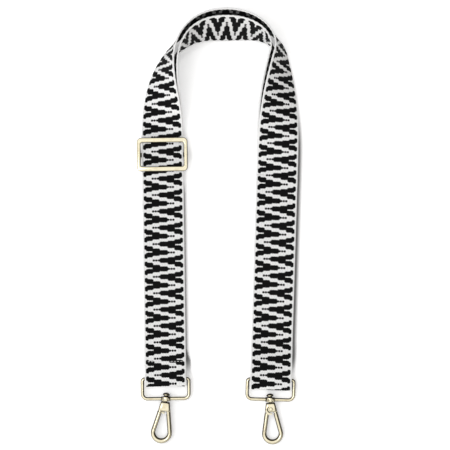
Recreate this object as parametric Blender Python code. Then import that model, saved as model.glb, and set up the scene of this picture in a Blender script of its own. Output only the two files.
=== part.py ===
"""Shoulder strap for a bag: patterned webbing, one slider and two swivel snap hooks.

The strap lies on a table as an arch. The two legs lie flat, face up. Between them the webbing
turns up on its outer edge and goes round the arch standing, leaning a little outward. One length
of webbing makes it all: it is sewn round the left ring, runs up under the slider, round the arch,
round the right ring, back under itself and is sewn round the slider's centre bar.

Metres, +Z up. X runs across the legs, Y from the hooks to the arch.
"""

import math

import bmesh
import bpy
import numpy as np
from mathutils import Matrix, Vector

# Fits
GAP = 0.0003  # between pieces that touch or slide on each other
OVERRUN = 0.002  # how far a cutter passes the face that it cuts

# Webbing
WEB_WIDTH = 0.038
WEB_THICK = 0.0015

# Plan of the arch: each half is part of a superellipse round a point below the crown
LEFT_SPREAD = 0.0577
RIGHT_SPREAD = 0.0478
LEFT_RISE = 0.0745
RIGHT_RISE = 0.032
LEFT_FULLNESS = 2.35
RIGHT_FULLNESS = 2.1
LEFT_LEG = 0.2465  # from the foot of the arch to the ring's top bar
RIGHT_LEG = 0.2898
LEFT_LEAN = math.radians(0.75)  # the legs close towards the hooks
RIGHT_LEAN = math.radians(1.75)
LEAN_EASE = 0.040  # length over which a leg takes up its lean

# How the webbing stands up along the arch
CROWN_ROLL = math.radians(106)  # past upright: it leans outward
LEFT_ROLL_RUN = 0.138  # from the crown to where the left leg lies flat
RIGHT_ROLL_RUN = 0.170
LEFT_ROLL_EASE = 1.3
RIGHT_ROLL_EASE = 1.9
TOP_GAPE = 0.0034  # extra space between the layers at the crown, along their top edges
BOTTOM_GAPE = 0.0100  # and along their bottom edges

# Slider: a frame over the webbing and a centre bar under it
SLIDER_LENGTH = 0.030
SLIDER_BAR = 0.0042  # width of its two cross bars
SLIDER_RAIL = 0.0033
SLIDER_THICK = 0.0025
SLIDER_CORNER = 0.0036
SLIDER_EDGE = 0.0006
CENTRE_BAR_WIDTH = 0.0040
CENTRE_BAR_THICK = 0.0020
CHEEK_FOOT = 0.0046
CHEEK_HEAD = 0.0120
LOOP_SEAM = 0.0100  # from the centre bar to the row of stitches
LOOP_TAIL = 0.0125  # and to the sewn end of the webbing
SLIDER_REACH = 0.0285  # webbing past the slider that stretches as the slider moves

# Rings
RING_WIRE = 0.0031
RING_PITCH = 0.0177  # between the axes of its two bars
RING_TOP_CORNER = 0.0005  # inside radius next to the webbing
RING_CORNER = 0.0030  # inside radius next to the swivel
BOSS_WIDTH = 0.0089
BOSS_DEPTH = 0.0078
BOSS_LENGTH = 0.0041
BOSS_EDGE = 0.0007
OVAL_WIDTH = 0.0015
OVAL_LENGTH = 0.0023
OVAL_DEPTH = 0.0008
OVAL_SPREAD = 0.0036

# Folds of webbing round the rings
LEFT_SLACK = 0.0035  # from the bar to where the fold turns
RIGHT_SLACK = 0.0059
SEAM_RUN = 0.0160  # from the bar to the row of stitches
TAIL_END = 0.0045  # webbing past the stitches
RIGHT_SETTLE = 0.034  # length over which the right leg comes down to the table
FOLD_RUN = 0.0045  # straight webbing beside a bar

# Swivel
POST_WIDTH = 0.0032
DOME_WIDTH = 0.0067
DOME_FOOT_WIDTH = 0.0048
DOME_HEIGHT = 0.0027
DOME_RIM = 0.0008
POST_GRIP = 0.0015  # depth of the post in the dome
LEFT_TILT = math.radians(8.25)  # the hooks lie a little out of line with their rings
RIGHT_TILT = math.radians(5.75)

# Snap hook, measured from the axis of the ring's lower bar
HOOK_LENGTH = 0.0403
HOOK_WIDTH = 0.0190
HOOK_SIDE = 0.0041  # stock of the loop at its sides
HOOK_FOOT = 0.0045  # and at the bottom
HOOK_THICK = 0.0046
NECK_END = 0.0112
NECK_TOP_WIDTH = 0.0072
NECK_FOOT_WIDTH = 0.0114  # from here the loop's sides run straight to its round end
NECK_THICK = 0.0054
NECK_EDGE = 0.0005
NECK_ROUND = 0.0055  # radius of the neck's lower left corner, round the gate's pivot
NOSE_DROP = 0.0290  # seam between gate and nose, on the loop's inner side
NOSE_SLANT = math.radians(38)

# Gate. One face of the neck is closed, and the other shows the gate's knuckle
PIVOT_DROP = 0.0085
CHEEK_THICK = 0.0012  # wall of the neck on its closed face
CAP_THICK = 0.0008  # and over the gate's eye on its open face
DISC_WIDTH = 0.0054  # round island of the neck inside the knuckle
KNUCKLE_BORE = 0.0072
KNUCKLE_WIDTH = 0.0100
EYE_WIDTH = 0.0036
TONGUE_THICK = 0.0012
PIN_WIDTH = 0.0016
PIN_FLOOR = 0.0005  # left of the closed wall under the pin
PIN_HEAD_WIDTH = 0.0030
PIN_HEAD_HEIGHT = 0.0004
SPRING_WIRE = 0.00035
SPRING_TURNS = 2
SPRING_LEG = 0.0026
GATE_SWING = math.radians(24)  # it opens inward
SWING_SPARE = math.radians(6)
NECK_ROUND_TOP = math.radians(86)  # angles about the pivot, leftward from straight down the hook
NECK_ROUND_END = math.radians(18)
KNUCKLE_START = math.radians(-8)
KNUCKLE_END = math.radians(85)
ROOT_START = math.radians(30)  # where the knuckle runs into the gate
ROOT_END = math.radians(55)
GROOVE_END = math.radians(140)
EYE_START = math.radians(75)
EYE_END = math.radians(365)
TONGUE_START = math.radians(30)
TONGUE_END = math.radians(50)

# Counts of facets
LEFT_STEPS = 24  # stations of the arch on each side of the crown
RIGHT_STEPS = 28
WEB_COLUMNS = 4
FOLD_STEPS = 10
WIRE_SIDES = 10
CORNER_STEPS = 4
HOOK_STEPS = 14
HOOK_SIDES = 12
NECK_SIDES = 20
ROUND_SIDES = 20
SPRING_SIDES = 6
SPRING_STEPS = 12
DENSE = 400

# Sizes worked out from those above
LAYER = WEB_THICK + GAP
FRONT_Z = WEB_THICK + 2 * GAP + CENTRE_BAR_THICK + LAYER + WEB_THICK / 2
RIGHT_FRONT_Z = LAYER + WEB_THICK / 2
BAR_Z = LAYER + CENTRE_BAR_THICK / 2
WRAP = RING_WIRE / 2 + GAP + WEB_THICK / 2
RING_Z = FRONT_Z - WRAP
RING_INNER = WEB_WIDTH + 2 * GAP
SEAT = BOSS_LENGTH / 2 + GAP + NECK_TOP_WIDTH / 2 * math.sin(LEFT_TILT)
DOME_SEAT = BOSS_LENGTH / 2 + GAP + DOME_FOOT_WIDTH / 2 * math.sin(LEFT_TILT)
NECK_BORE = POST_WIDTH + 2 * GAP + BOSS_LENGTH * math.tan(LEFT_TILT)
SLOT_FLOOR = -NECK_THICK / 2 + CHEEK_THICK  # heights when the open face is up
SLOT_ROOF = NECK_THICK / 2 - CAP_THICK
SLIDER_RUN_STEPS = round(SLIDER_REACH / LEFT_ROLL_RUN * LEFT_STEPS)


def smooth(share):
    """An S curve from 0 to 1."""
    t = min(max(share, 0.0), 1.0)
    return t * t * (3 - 2 * t)


def paint(name, colour, roughness, metallic):
    """A plain Principled material."""
    mat = bpy.data.materials.new(name)
    mat.use_nodes = True
    shader = mat.node_tree.nodes["Principled BSDF"]
    shader.inputs["Base Color"].default_value = (*colour, 1.0)
    shader.inputs["Roughness"].default_value = roughness
    shader.inputs["Metallic"].default_value = metallic
    return mat


def keep(name, bm, mat, parent=None, place=None):
    """Makes an object of a bmesh, with its faces pointing out."""
    bmesh.ops.recalc_face_normals(bm, faces=bm.faces)
    mesh = bpy.data.meshes.new(name)
    bm.to_mesh(mesh)
    bm.free()
    mesh.shade_smooth()
    mesh.set_sharp_from_angle(angle=math.radians(40))
    mesh.materials.append(mat)
    obj = bpy.data.objects.new(name, mesh)
    bpy.context.collection.objects.link(obj)
    obj.parent = parent
    if place is not None:
        obj.matrix_local = place
    return obj


def loft(rings, closed=False, mirrored=False):
    """A skin through rings of points that all have the same count.

    A mirrored skin is split so that its two broad faces bend along the same diagonals.
    """
    bm = bmesh.new()
    rows = [[bm.verts.new(p) for p in ring] for ring in rings]
    count = len(rows[0])
    pairs = list(zip(rows, rows[1:] + rows[:1])) if closed else list(zip(rows, rows[1:]))
    for low, high in pairs:
        for i in range(count):
            j = (i + 1) % count
            if not mirrored:
                bm.faces.new((low[i], low[j], high[j], high[i]))
            elif i < count // 2:
                bm.faces.new((low[i], low[j], high[j]))
                bm.faces.new((low[i], high[j], high[i]))
            else:
                bm.faces.new((low[i], low[j], high[i]))
                bm.faces.new((low[j], high[j], high[i]))
    if not closed:
        bm.faces.new(rows[0][::-1])
        bm.faces.new(rows[-1])
    return bm


def prism(outline, low, high):
    """A flat outline in X and Y, raised from low to high."""
    return loft([[Vector((x, y, z)) for x, y in outline] for z in (low, high)])


def rod(radius, start, end, sides=ROUND_SIDES):
    """A round bar between two points."""
    axis = Vector(end) - Vector(start)
    turn = axis.to_track_quat("Z", "Y")
    rings = []
    for point in (start, end):
        ring = [
            turn @ Vector((radius * math.cos(a), radius * math.sin(a), 0)) + Vector(point)
            for a in (2 * math.pi * i / sides for i in range(sides))
        ]
        rings.append(ring)
    return loft(rings)


def change(obj, tool, operation):
    """Adds a Boolean with a hidden tool that has the same parent."""
    tool.hide_render = True
    tool.display_type = "WIRE"
    mod = obj.modifiers.new(tool.name, "BOOLEAN")
    mod.operation = operation
    mod.solver = "EXACT"
    mod.object = tool


def empty(name, parent, place):
    """A frame that pieces hang from."""
    obj = bpy.data.objects.new(name, None)
    bpy.context.collection.objects.link(obj)
    obj.empty_display_size = RING_WIRE
    obj.parent = parent
    obj.matrix_local = place
    return obj


# Plan and roll of the webbing


def leg_offset(down, lean):
    """How far a leg has moved towards the middle, at a distance below the foot of the arch."""
    if down < LEAN_EASE:
        return math.tan(lean) * down * down / (2 * LEAN_EASE)
    return math.tan(lean) * (down - LEAN_EASE / 2)


def half_plan(side):
    """Plan points from the end of one leg to the crown, which is at the origin."""
    left = side < 0
    spread = LEFT_SPREAD if left else RIGHT_SPREAD
    rise = LEFT_RISE if left else RIGHT_RISE
    power = 2 / (LEFT_FULLNESS if left else RIGHT_FULLNESS)
    length = LEFT_LEG if left else RIGHT_LEG
    lean = LEFT_LEAN if left else RIGHT_LEAN
    points = []
    for i in range(DENSE):
        down = length * (1 - i / DENSE)
        points.append((side * (spread - leg_offset(down, lean)), -rise - down))
    for i in range(DENSE + 1):
        angle = math.pi / 2 * i / DENSE
        across = spread * max(math.cos(angle), 0) ** power
        points.append((side * across, rise * (math.sin(angle) ** power - 1)))
    return points


def strap_plan():
    """Plan points of the whole strap with their distance from the crown, negative on the left."""
    points = half_plan(-1) + half_plan(1)[-2::-1]
    plan = np.array(points)
    steps = np.linalg.norm(np.diff(plan, axis=0), axis=1)
    run = np.concatenate([[0], np.cumsum(steps)])
    crown = run[2 * DENSE]
    return plan, run - crown


PLAN, RUN = strap_plan()


def standing(run):
    """How far the webbing has turned up, from 0 on a leg to 1 at the crown."""
    left = run < 0
    length = LEFT_ROLL_RUN if left else RIGHT_ROLL_RUN
    ease = LEFT_ROLL_EASE if left else RIGHT_ROLL_EASE
    share = max(0.0, 1 - abs(run) / length) ** ease
    return share * (2 - share)


def station(run, inner):
    """Bottom edge, top edge and outward normal of one layer, at a distance from the crown."""
    span = WEB_WIDTH / 8
    ahead, behind, here = (
        Vector([float(np.interp(at, RUN, PLAN[:, k])) for k in (0, 1)] + [0])
        for at in (run + span, run - span, run)
    )
    along = (ahead - behind).normalized()
    inward = Vector((along.y, -along.x, 0))
    up = standing(run)
    roll = CROWN_ROLL * up
    across = inward * math.cos(roll) + Vector((0, 0, math.sin(roll)))
    outward = across.cross(along)
    spare = (FRONT_Z if run < 0 else RIGHT_FRONT_Z) - WEB_THICK / 2 - LAYER
    foot_z = WEB_THICK / 2 + LAYER * max(math.cos(roll), 0) + spare * (1 - math.sqrt(up))
    bottom = here - inward * (WEB_WIDTH / 2 * math.cos(roll)) + Vector((0, 0, foot_z))
    top = bottom + across * WEB_WIDTH
    if inner:
        share = (1 - math.cos(roll)) / (1 - math.cos(CROWN_ROLL))
        bottom, foot = bottom - outward * (LAYER + BOTTOM_GAPE * share), bottom.z
        top -= outward * (LAYER + TOP_GAPE * share)
        if math.sin(roll) > WEB_THICK / WEB_WIDTH:
            rest = min(max(bottom.z, WEB_THICK / 2), max(foot, WEB_THICK / 2))
            slide = across * ((rest - bottom.z) / math.sin(roll))
            bottom, top = bottom + slide, top + slide
        outward = (top - bottom).cross(along).normalized()
    return bottom, top, outward


def ribbon(name, runs, inner, mat, parent):
    """One stretch of a layer through stations, as a closed solid of the webbing's thickness."""
    rings = []
    for run in runs:
        bottom, top, outward = station(run, inner)
        half = outward * (WEB_THICK / 2)
        line = [bottom.lerp(top, k / WEB_COLUMNS) for k in range(WEB_COLUMNS + 1)]
        rings.append([p - half for p in line] + [p + half for p in line[::-1]])
    return keep(name, loft(rings, mirrored=True), mat, parent)


def arch_runs(first, last):
    """Stations of the arch, which both layers share, less half a gap at each end."""
    runs = [-LEFT_ROLL_RUN * (1 - i / LEFT_STEPS) for i in range(LEFT_STEPS)]
    runs += [RIGHT_ROLL_RUN * i / RIGHT_STEPS for i in range(RIGHT_STEPS + 1)]
    runs = runs[first:last]
    runs[0] += GAP / 2
    runs[-1] -= GAP / 2
    return runs


def banded(name, line, mat, parent, place=None):
    """Webbing that follows a line of (y, z) points, seen from the side of a leg."""
    pts = [Vector((0, y, z)) for y, z in line]
    rings = []
    for i, point in enumerate(pts):
        ahead = pts[min(i + 1, len(pts) - 1)]
        behind = pts[max(i - 1, 0)]
        along = (ahead - behind).normalized()
        side = Vector((0, -along.z, along.y)) * (WEB_THICK / 2)
        across = Vector((WEB_WIDTH / 2, 0, 0))
        low, high = point - side, point + side
        rings.append([low - across, low + across, high + across, high - across])
    return keep(name, loft(rings), mat, parent, place)


def bend(centre_y, centre_z, radius):
    """Half a turn from under a bar to over it, as (y, z) points on its lower side."""
    return [
        (centre_y - radius * math.sin(a), centre_z - radius * math.cos(a))
        for a in (math.pi * i / FOLD_STEPS for i in range(FOLD_STEPS + 1))
    ]


def ease_line(y_start, y_end, z_start, z_end):
    """An S curve between two heights, without its first point."""
    return [
        (y_start + (y_end - y_start) * i / FOLD_STEPS, z_start + (z_end - z_start) * smooth(i / FOLD_STEPS))
        for i in range(1, FOLD_STEPS + 1)
    ]


# Hardware


def rounded_loop(width, length, radii, steps):
    """A rounded rectangle about the origin, with its own radius at each corner from +X +Y on."""
    points = []
    for k, radius in enumerate(radii):
        sx = 1 if k in (0, 3) else -1
        sy = 1 if k in (0, 1) else -1
        cx, cy = sx * (width / 2 - radius), sy * (length / 2 - radius)
        for i in range(steps + 1):
            a = math.pi / 2 * (k + i / steps)
            points.append((cx + radius * math.cos(a), cy + radius * math.sin(a)))
    return points


def make_ring(side, mat, parent):
    """Square ring of round wire with a boss for the swivel. Its origin is the top bar's axis."""
    half = RING_WIRE / 2
    top, low = RING_TOP_CORNER + half, RING_CORNER + half
    path = rounded_loop(RING_INNER + RING_WIRE, RING_PITCH, (top, top, low, low), CORNER_STEPS)
    rings = []
    for i, (x, y) in enumerate(path):
        ahead = Vector((*path[(i + 1) % len(path)], 0))
        behind = Vector((*path[i - 1], 0))
        along = (ahead - behind).normalized()
        out = Vector((along.y, -along.x, 0))
        centre = Vector((x, y - RING_PITCH / 2, 0))
        angles = [2 * math.pi * k / WIRE_SIDES for k in range(WIRE_SIDES)]
        up = Vector((0, 0, half))
        rings.append([centre + out * half * math.cos(a) + up * math.sin(a) for a in angles])
    ring = keep(f"{side}_ring", loft(rings, closed=True), mat, parent)
    place = Matrix.Translation((0, -RING_PITCH, 0))
    boss = keep(f"{side}_ring_boss", boss_body(), mat, parent, place)
    change(ring, boss, "UNION")
    reach = BOSS_LENGTH / 2 + OVERRUN
    bore = keep(f"{side}_ring_bore", rod(NECK_BORE / 2, (0, -reach, 0), (0, reach, 0)), mat, parent, place)
    change(ring, bore, "DIFFERENCE")
    for face in (-1, 1):
        for k in (-1, 1):
            spot = Matrix.Translation((k * OVAL_SPREAD / 2, -RING_PITCH, face * BOSS_DEPTH / 2))
            oval = keep(f"{side}_ring_oval_{face}_{k}", oval_body(), mat, parent, spot)
            change(ring, oval, "DIFFERENCE")
    return ring


def boss_body():
    """Barrel round the swivel post, along Y, with rounded ends."""
    rings = []
    for y, inset in (
        (-BOSS_LENGTH / 2, BOSS_EDGE),
        (-BOSS_LENGTH / 2 + BOSS_EDGE, 0),
        (BOSS_LENGTH / 2 - BOSS_EDGE, 0),
        (BOSS_LENGTH / 2, BOSS_EDGE),
    ):
        angles = [2 * math.pi * i / ROUND_SIDES for i in range(ROUND_SIDES)]
        wide, deep = BOSS_WIDTH / 2 - inset, BOSS_DEPTH / 2 - inset
        rings.append([Vector((wide * math.cos(a), y, deep * math.sin(a))) for a in angles])
    return loft(rings)


def oval_body():
    """An upright oval, as deep as the hollows in the boss."""
    angles = [2 * math.pi * i / WIRE_SIDES for i in range(WIRE_SIDES)]
    outline = [(OVAL_WIDTH / 2 * math.cos(a), OVAL_LENGTH / 2 * math.sin(a)) for a in angles]
    return prism(outline, -OVAL_DEPTH, OVAL_DEPTH)


def hook_flare():
    """Angle of the loop's straight sides, from the neck's end to where they touch its round end."""
    half = NECK_FOOT_WIDTH / 2
    drop = HOOK_LENGTH - HOOK_WIDTH / 2 - NECK_END
    return math.asin(HOOK_WIDTH / 2 / math.hypot(half, drop)) - math.atan2(half, drop)


def hook_lines():
    """Outer and inner outline points of the loop, from the left of the neck round to the right."""
    flare = hook_flare()
    outer_r = HOOK_WIDTH / 2
    inner_r = outer_r - HOOK_SIDE
    outer_c = HOOK_LENGTH - outer_r
    inner_c = HOOK_LENGTH - HOOK_FOOT - inner_r
    start = (PIVOT_DROP + NECK_END) / 2
    outer, inner = [], []
    for line, radius, centre in ((outer, outer_r, outer_c), (inner, inner_r, inner_c)):
        touch_x = radius * math.cos(flare)
        touch_y = centre - radius * math.sin(flare)
        for i in range(HOOK_STEPS // 2):
            y = start + (touch_y - start) * i / (HOOK_STEPS // 2)
            line.append((-touch_x + (touch_y - y) * math.tan(flare), y))
        for i in range(HOOK_STEPS + 1):
            a = -flare + (math.pi + 2 * flare) * i / HOOK_STEPS
            line.append((-radius * math.cos(a), centre + radius * math.sin(a)))
        for x, y in line[: HOOK_STEPS // 2][::-1]:
            line.append((-x, y))
    return outer, inner


def hook_tube(first, last):
    """The loop's stock between two of its stations, as a bar of oval section."""
    outer, inner = hook_lines()
    rings = []
    for (ox, oy), (ix, iy) in list(zip(outer, inner))[first:last]:
        centre = Vector(((ox + ix) / 2, -(oy + iy) / 2, 0))
        reach = Vector(((ox - ix) / 2, -(oy - iy) / 2, 0))
        angles = [2 * math.pi * k / HOOK_SIDES for k in range(HOOK_SIDES)]
        up = Vector((0, 0, HOOK_THICK / 2))
        rings.append([centre + reach * math.cos(a) + up * math.sin(a) for a in angles])
    return loft(rings)


def neck_half_width(y):
    """Half the neck's width at a distance below the ring's bar, in line with the loop's sides."""
    return NECK_FOOT_WIDTH / 2 - (NECK_END - y) * math.tan(hook_flare())


def neck_body():
    """The neck, from a shoulder under the boss to the top of the loop's window."""
    deep = NECK_THICK / 2
    low = (NECK_THICK + HOOK_THICK) / 4
    rows = (
        (SEAT, NECK_TOP_WIDTH / 2, deep - 2 * NECK_EDGE),
        (SEAT + NECK_EDGE, neck_half_width(SEAT + NECK_EDGE), deep - NECK_EDGE),
        (SEAT + 3 * NECK_EDGE, neck_half_width(SEAT + 3 * NECK_EDGE), deep),
        (PIVOT_DROP + PIN_HEAD_WIDTH / 2, neck_half_width(PIVOT_DROP + PIN_HEAD_WIDTH / 2), deep),
        (NECK_END - NECK_EDGE, neck_half_width(NECK_END - NECK_EDGE), low),
        (NECK_END, neck_half_width(NECK_END), low - NECK_EDGE),
    )
    rings = []
    for y, wide, deep in rows:
        ring = []
        for i in range(NECK_SIDES):
            a = 2 * math.pi * (i + 0.5) / NECK_SIDES
            c, s = math.cos(a), math.sin(a)
            scale = (abs(c) ** 4 + abs(s) ** 4) ** -0.25
            ring.append(Vector((wide * c * scale, -y, deep * s * scale)))
        rings.append(ring)
    return loft(rings)


def arc_from_pivot(radius, first, last, steps, drop=PIVOT_DROP):
    """Points round the gate's pivot. Angles open to the left of straight down."""
    points = []
    for i in range(steps + 1):
        a = first + (last - first) * i / steps
        points.append((-radius * math.sin(a), -drop - radius * math.cos(a)))
    return points


def gate_window(clear):
    """The stretch of the loop's left side that belongs to the gate, grown or shrunk by a gap."""
    outline = arc_from_pivot(NECK_ROUND - clear, NECK_ROUND_TOP, NECK_ROUND_END, CORNER_STEPS * 2)
    middle_x, far_x = -PIN_WIDTH / 2, -HOOK_WIDTH
    seam_x, seam_y = HOOK_SIDE - HOOK_WIDTH / 2, -NOSE_DROP - clear / math.cos(NOSE_SLANT)
    for x in (middle_x, far_x):
        outline.append((x, seam_y + (seam_x - x) * math.tan(NOSE_SLANT)))
    outline.append((far_x, outline[0][1]))
    return outline


def recess_outline():
    """Room on the neck's open face for the swinging knuckle, with a groove round the island."""
    start = KNUCKLE_START - GATE_SWING - SWING_SPARE
    step = KNUCKLE_END + SWING_SPARE
    outer = arc_from_pivot(NECK_ROUND + GAP, start, step, CORNER_STEPS * 3)
    outer += arc_from_pivot(KNUCKLE_BORE / 2, step, GROOVE_END, CORNER_STEPS)
    return outer + arc_from_pivot(DISC_WIDTH / 2, GROOVE_END, start, CORNER_STEPS * 4)


def slot_outline():
    """Room in the island for the gate's eye and for its tongue at both ends of the swing."""
    start = EYE_END - 2 * math.pi - GATE_SWING - SWING_SPARE
    end = EYE_START + SWING_SPARE
    room = EYE_WIDTH / 2 + GAP
    eye = arc_from_pivot(room, end + SWING_SPARE, 2 * math.pi + start - SWING_SPARE, CORNER_STEPS * 4)
    return eye + arc_from_pivot(DISC_WIDTH / 2 + GAP, start, end, CORNER_STEPS)


def knuckle_outline():
    """Curved end of the gate round the island, running into the gate's bar."""
    outline = arc_from_pivot(KNUCKLE_BORE / 2, KNUCKLE_END, KNUCKLE_START, CORNER_STEPS * 3, drop=0)
    outline += arc_from_pivot(KNUCKLE_WIDTH / 2, KNUCKLE_START, ROOT_START, CORNER_STEPS, drop=0)
    outline += arc_from_pivot(NECK_ROUND + 2 * GAP, ROOT_START, ROOT_END, CORNER_STEPS, drop=0)
    return outline + arc_from_pivot(KNUCKLE_WIDTH / 2, ROOT_END, KNUCKLE_END, CORNER_STEPS, drop=0)


def tongue_outline():
    """Flat tongue: an eye round the pin that widens into the knuckle."""
    outline = arc_from_pivot(EYE_WIDTH / 2, EYE_START, EYE_END, CORNER_STEPS * 3, drop=0)
    return outline + arc_from_pivot((KNUCKLE_BORE + KNUCKLE_WIDTH) / 4, TONGUE_START, TONGUE_END, 2, drop=0)


def slab(outline, low, high, face):
    """A flat outline raised between two heights, which are turned over for a hook that lies so."""
    return prism(outline, *sorted((low * face, high * face)))


def make_hook(side, face, mat, parent):
    """Hook body: post, neck and loop. face is 1 where the neck's open face is up."""
    hook = keep(f"{side}_hook", neck_body(), mat, parent)
    loop = keep(f"{side}_hook_loop", hook_tube(0, None), mat, parent)
    change(hook, loop, "UNION")
    foot = (PIVOT_DROP + SEAT) / 2
    post = rod(POST_WIDTH / 2, (0, -foot, 0), (0, DOME_SEAT + POST_GRIP, 0))
    change(hook, keep(f"{side}_hook_post", post, mat, parent), "UNION")
    full = NECK_THICK / 2 + OVERRUN
    opening = keep(f"{side}_hook_gate_cut", prism(gate_window(0), -full, full), mat, parent)
    change(hook, opening, "DIFFERENCE")
    recess = keep(f"{side}_hook_recess", slab(recess_outline(), SLOT_FLOOR, full, face), mat, parent)
    change(hook, recess, "DIFFERENCE")
    slot = keep(f"{side}_hook_slot", slab(slot_outline(), SLOT_FLOOR, SLOT_ROOF, face), mat, parent)
    change(hook, slot, "DIFFERENCE")
    floor = -NECK_THICK / 2 + PIN_FLOOR
    bore = rod(PIN_WIDTH / 2 + GAP, (0, -PIVOT_DROP, floor * face), (0, -PIVOT_DROP, full * face))
    change(hook, keep(f"{side}_hook_bore", bore, mat, parent), "DIFFERENCE")
    return hook


def make_gate(side, face, mat, parent):
    """Gate with its knuckle and tongue. Its origin is the pin's axis."""
    back = Matrix.Translation((0, PIVOT_DROP, 0))
    gate = keep(f"{side}_gate", hook_tube(0, HOOK_STEPS), mat, parent, back)
    full = NECK_THICK / 2 + OVERRUN
    limit = keep(f"{side}_gate_limit", prism(gate_window(-GAP), -full, full), mat, parent, back)
    change(gate, limit, "INTERSECT")
    low = SLOT_FLOOR + GAP
    knuckle = slab(knuckle_outline(), low, HOOK_THICK / 2 - GAP, face)
    change(gate, keep(f"{side}_gate_knuckle", knuckle, mat, parent), "UNION")
    tongue = slab(tongue_outline(), low, low + TONGUE_THICK, face)
    change(gate, keep(f"{side}_gate_tongue", tongue, mat, parent), "UNION")
    bore = rod(PIN_WIDTH / 2 + GAP, (0, 0, -full), (0, 0, full))
    change(gate, keep(f"{side}_gate_bore", bore, mat, parent), "DIFFERENCE")
    return gate


def make_pin(side, face, mat, parent):
    """Pivot pin: blind in the closed wall, with a low head on the open face."""
    low, high = -NECK_THICK / 2 + PIN_FLOOR + GAP, NECK_THICK / 2 + GAP
    rings = []
    for z, radius in (
        (low, PIN_WIDTH / 2),
        (high, PIN_WIDTH / 2),
        (high, PIN_HEAD_WIDTH / 2),
        (high + PIN_HEAD_HEIGHT, PIN_HEAD_WIDTH / 2 - PIN_HEAD_HEIGHT),
    ):
        angles = [2 * math.pi * i / ROUND_SIDES for i in range(ROUND_SIDES)]
        rings.append([Vector((radius * math.cos(a), radius * math.sin(a), z * face)) for a in angles])
    return keep(f"{side}_gate_pin", loft(rings), mat, parent)


def make_spring(side, face, mat, parent):
    """Torsion spring round the pin, beside the tongue, with one leg along the tongue."""
    half = SPRING_WIRE / 2
    radius = PIN_WIDTH / 2 + GAP + half
    pitch = SPRING_WIRE + GAP / 2
    low = SLOT_FLOOR + GAP + TONGUE_THICK + GAP + half
    leg_angle = (TONGUE_START + TONGUE_END) / 2
    path = []
    for i in range(SPRING_TURNS * SPRING_STEPS + 1):
        a = 2 * math.pi * i / SPRING_STEPS - leg_angle
        z = low + pitch * i / SPRING_STEPS
        path.append(Vector((radius * math.cos(a), radius * math.sin(a), z)))
    leg = Vector((math.sin(leg_angle), math.cos(leg_angle), 0)) * SPRING_LEG
    path = [path[0] - leg] + path + [path[-1] + leg / 4]
    rings = []
    for i, point in enumerate(path):
        along = (path[min(i + 1, len(path) - 1)] - path[max(i - 1, 0)]).normalized()
        side_on = along.cross(Vector((0, 0, 1))).normalized()
        up = side_on.cross(along)
        angles = [2 * math.pi * k / SPRING_SIDES for k in range(SPRING_SIDES)]
        ring = [point + side_on * half * math.cos(a) + up * half * math.sin(a) for a in angles]
        rings.append([Vector((p.x, p.y, p.z * face)) for p in ring])
    return keep(f"{side}_gate_spring", loft(rings), mat, parent)


def make_dome(side, mat, parent):
    """Domed head that holds the post in the boss. It has a bore for the post's end."""
    rings = []
    rows = [(0, DOME_FOOT_WIDTH / 2), (DOME_RIM, DOME_WIDTH / 2)]
    for i in range(1, CORNER_STEPS + 1):
        a = math.pi / 2 * i / (CORNER_STEPS + 1)
        rows.append((DOME_RIM + (DOME_HEIGHT - DOME_RIM) * math.sin(a), DOME_WIDTH / 2 * math.cos(a)))
    for y, radius in rows:
        angles = [2 * math.pi * i / ROUND_SIDES for i in range(ROUND_SIDES)]
        rings.append([Vector((radius * math.cos(a), DOME_SEAT + y, radius * math.sin(a))) for a in angles])
    dome = keep(f"{side}_swivel_dome", loft(rings), mat, parent)
    depth = POST_GRIP + GAP
    bore = rod(POST_WIDTH / 2 + GAP, (0, DOME_SEAT - OVERRUN, 0), (0, DOME_SEAT + depth, 0))
    change(dome, keep(f"{side}_swivel_dome_bore", bore, mat, parent), "DIFFERENCE")
    return dome


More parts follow.
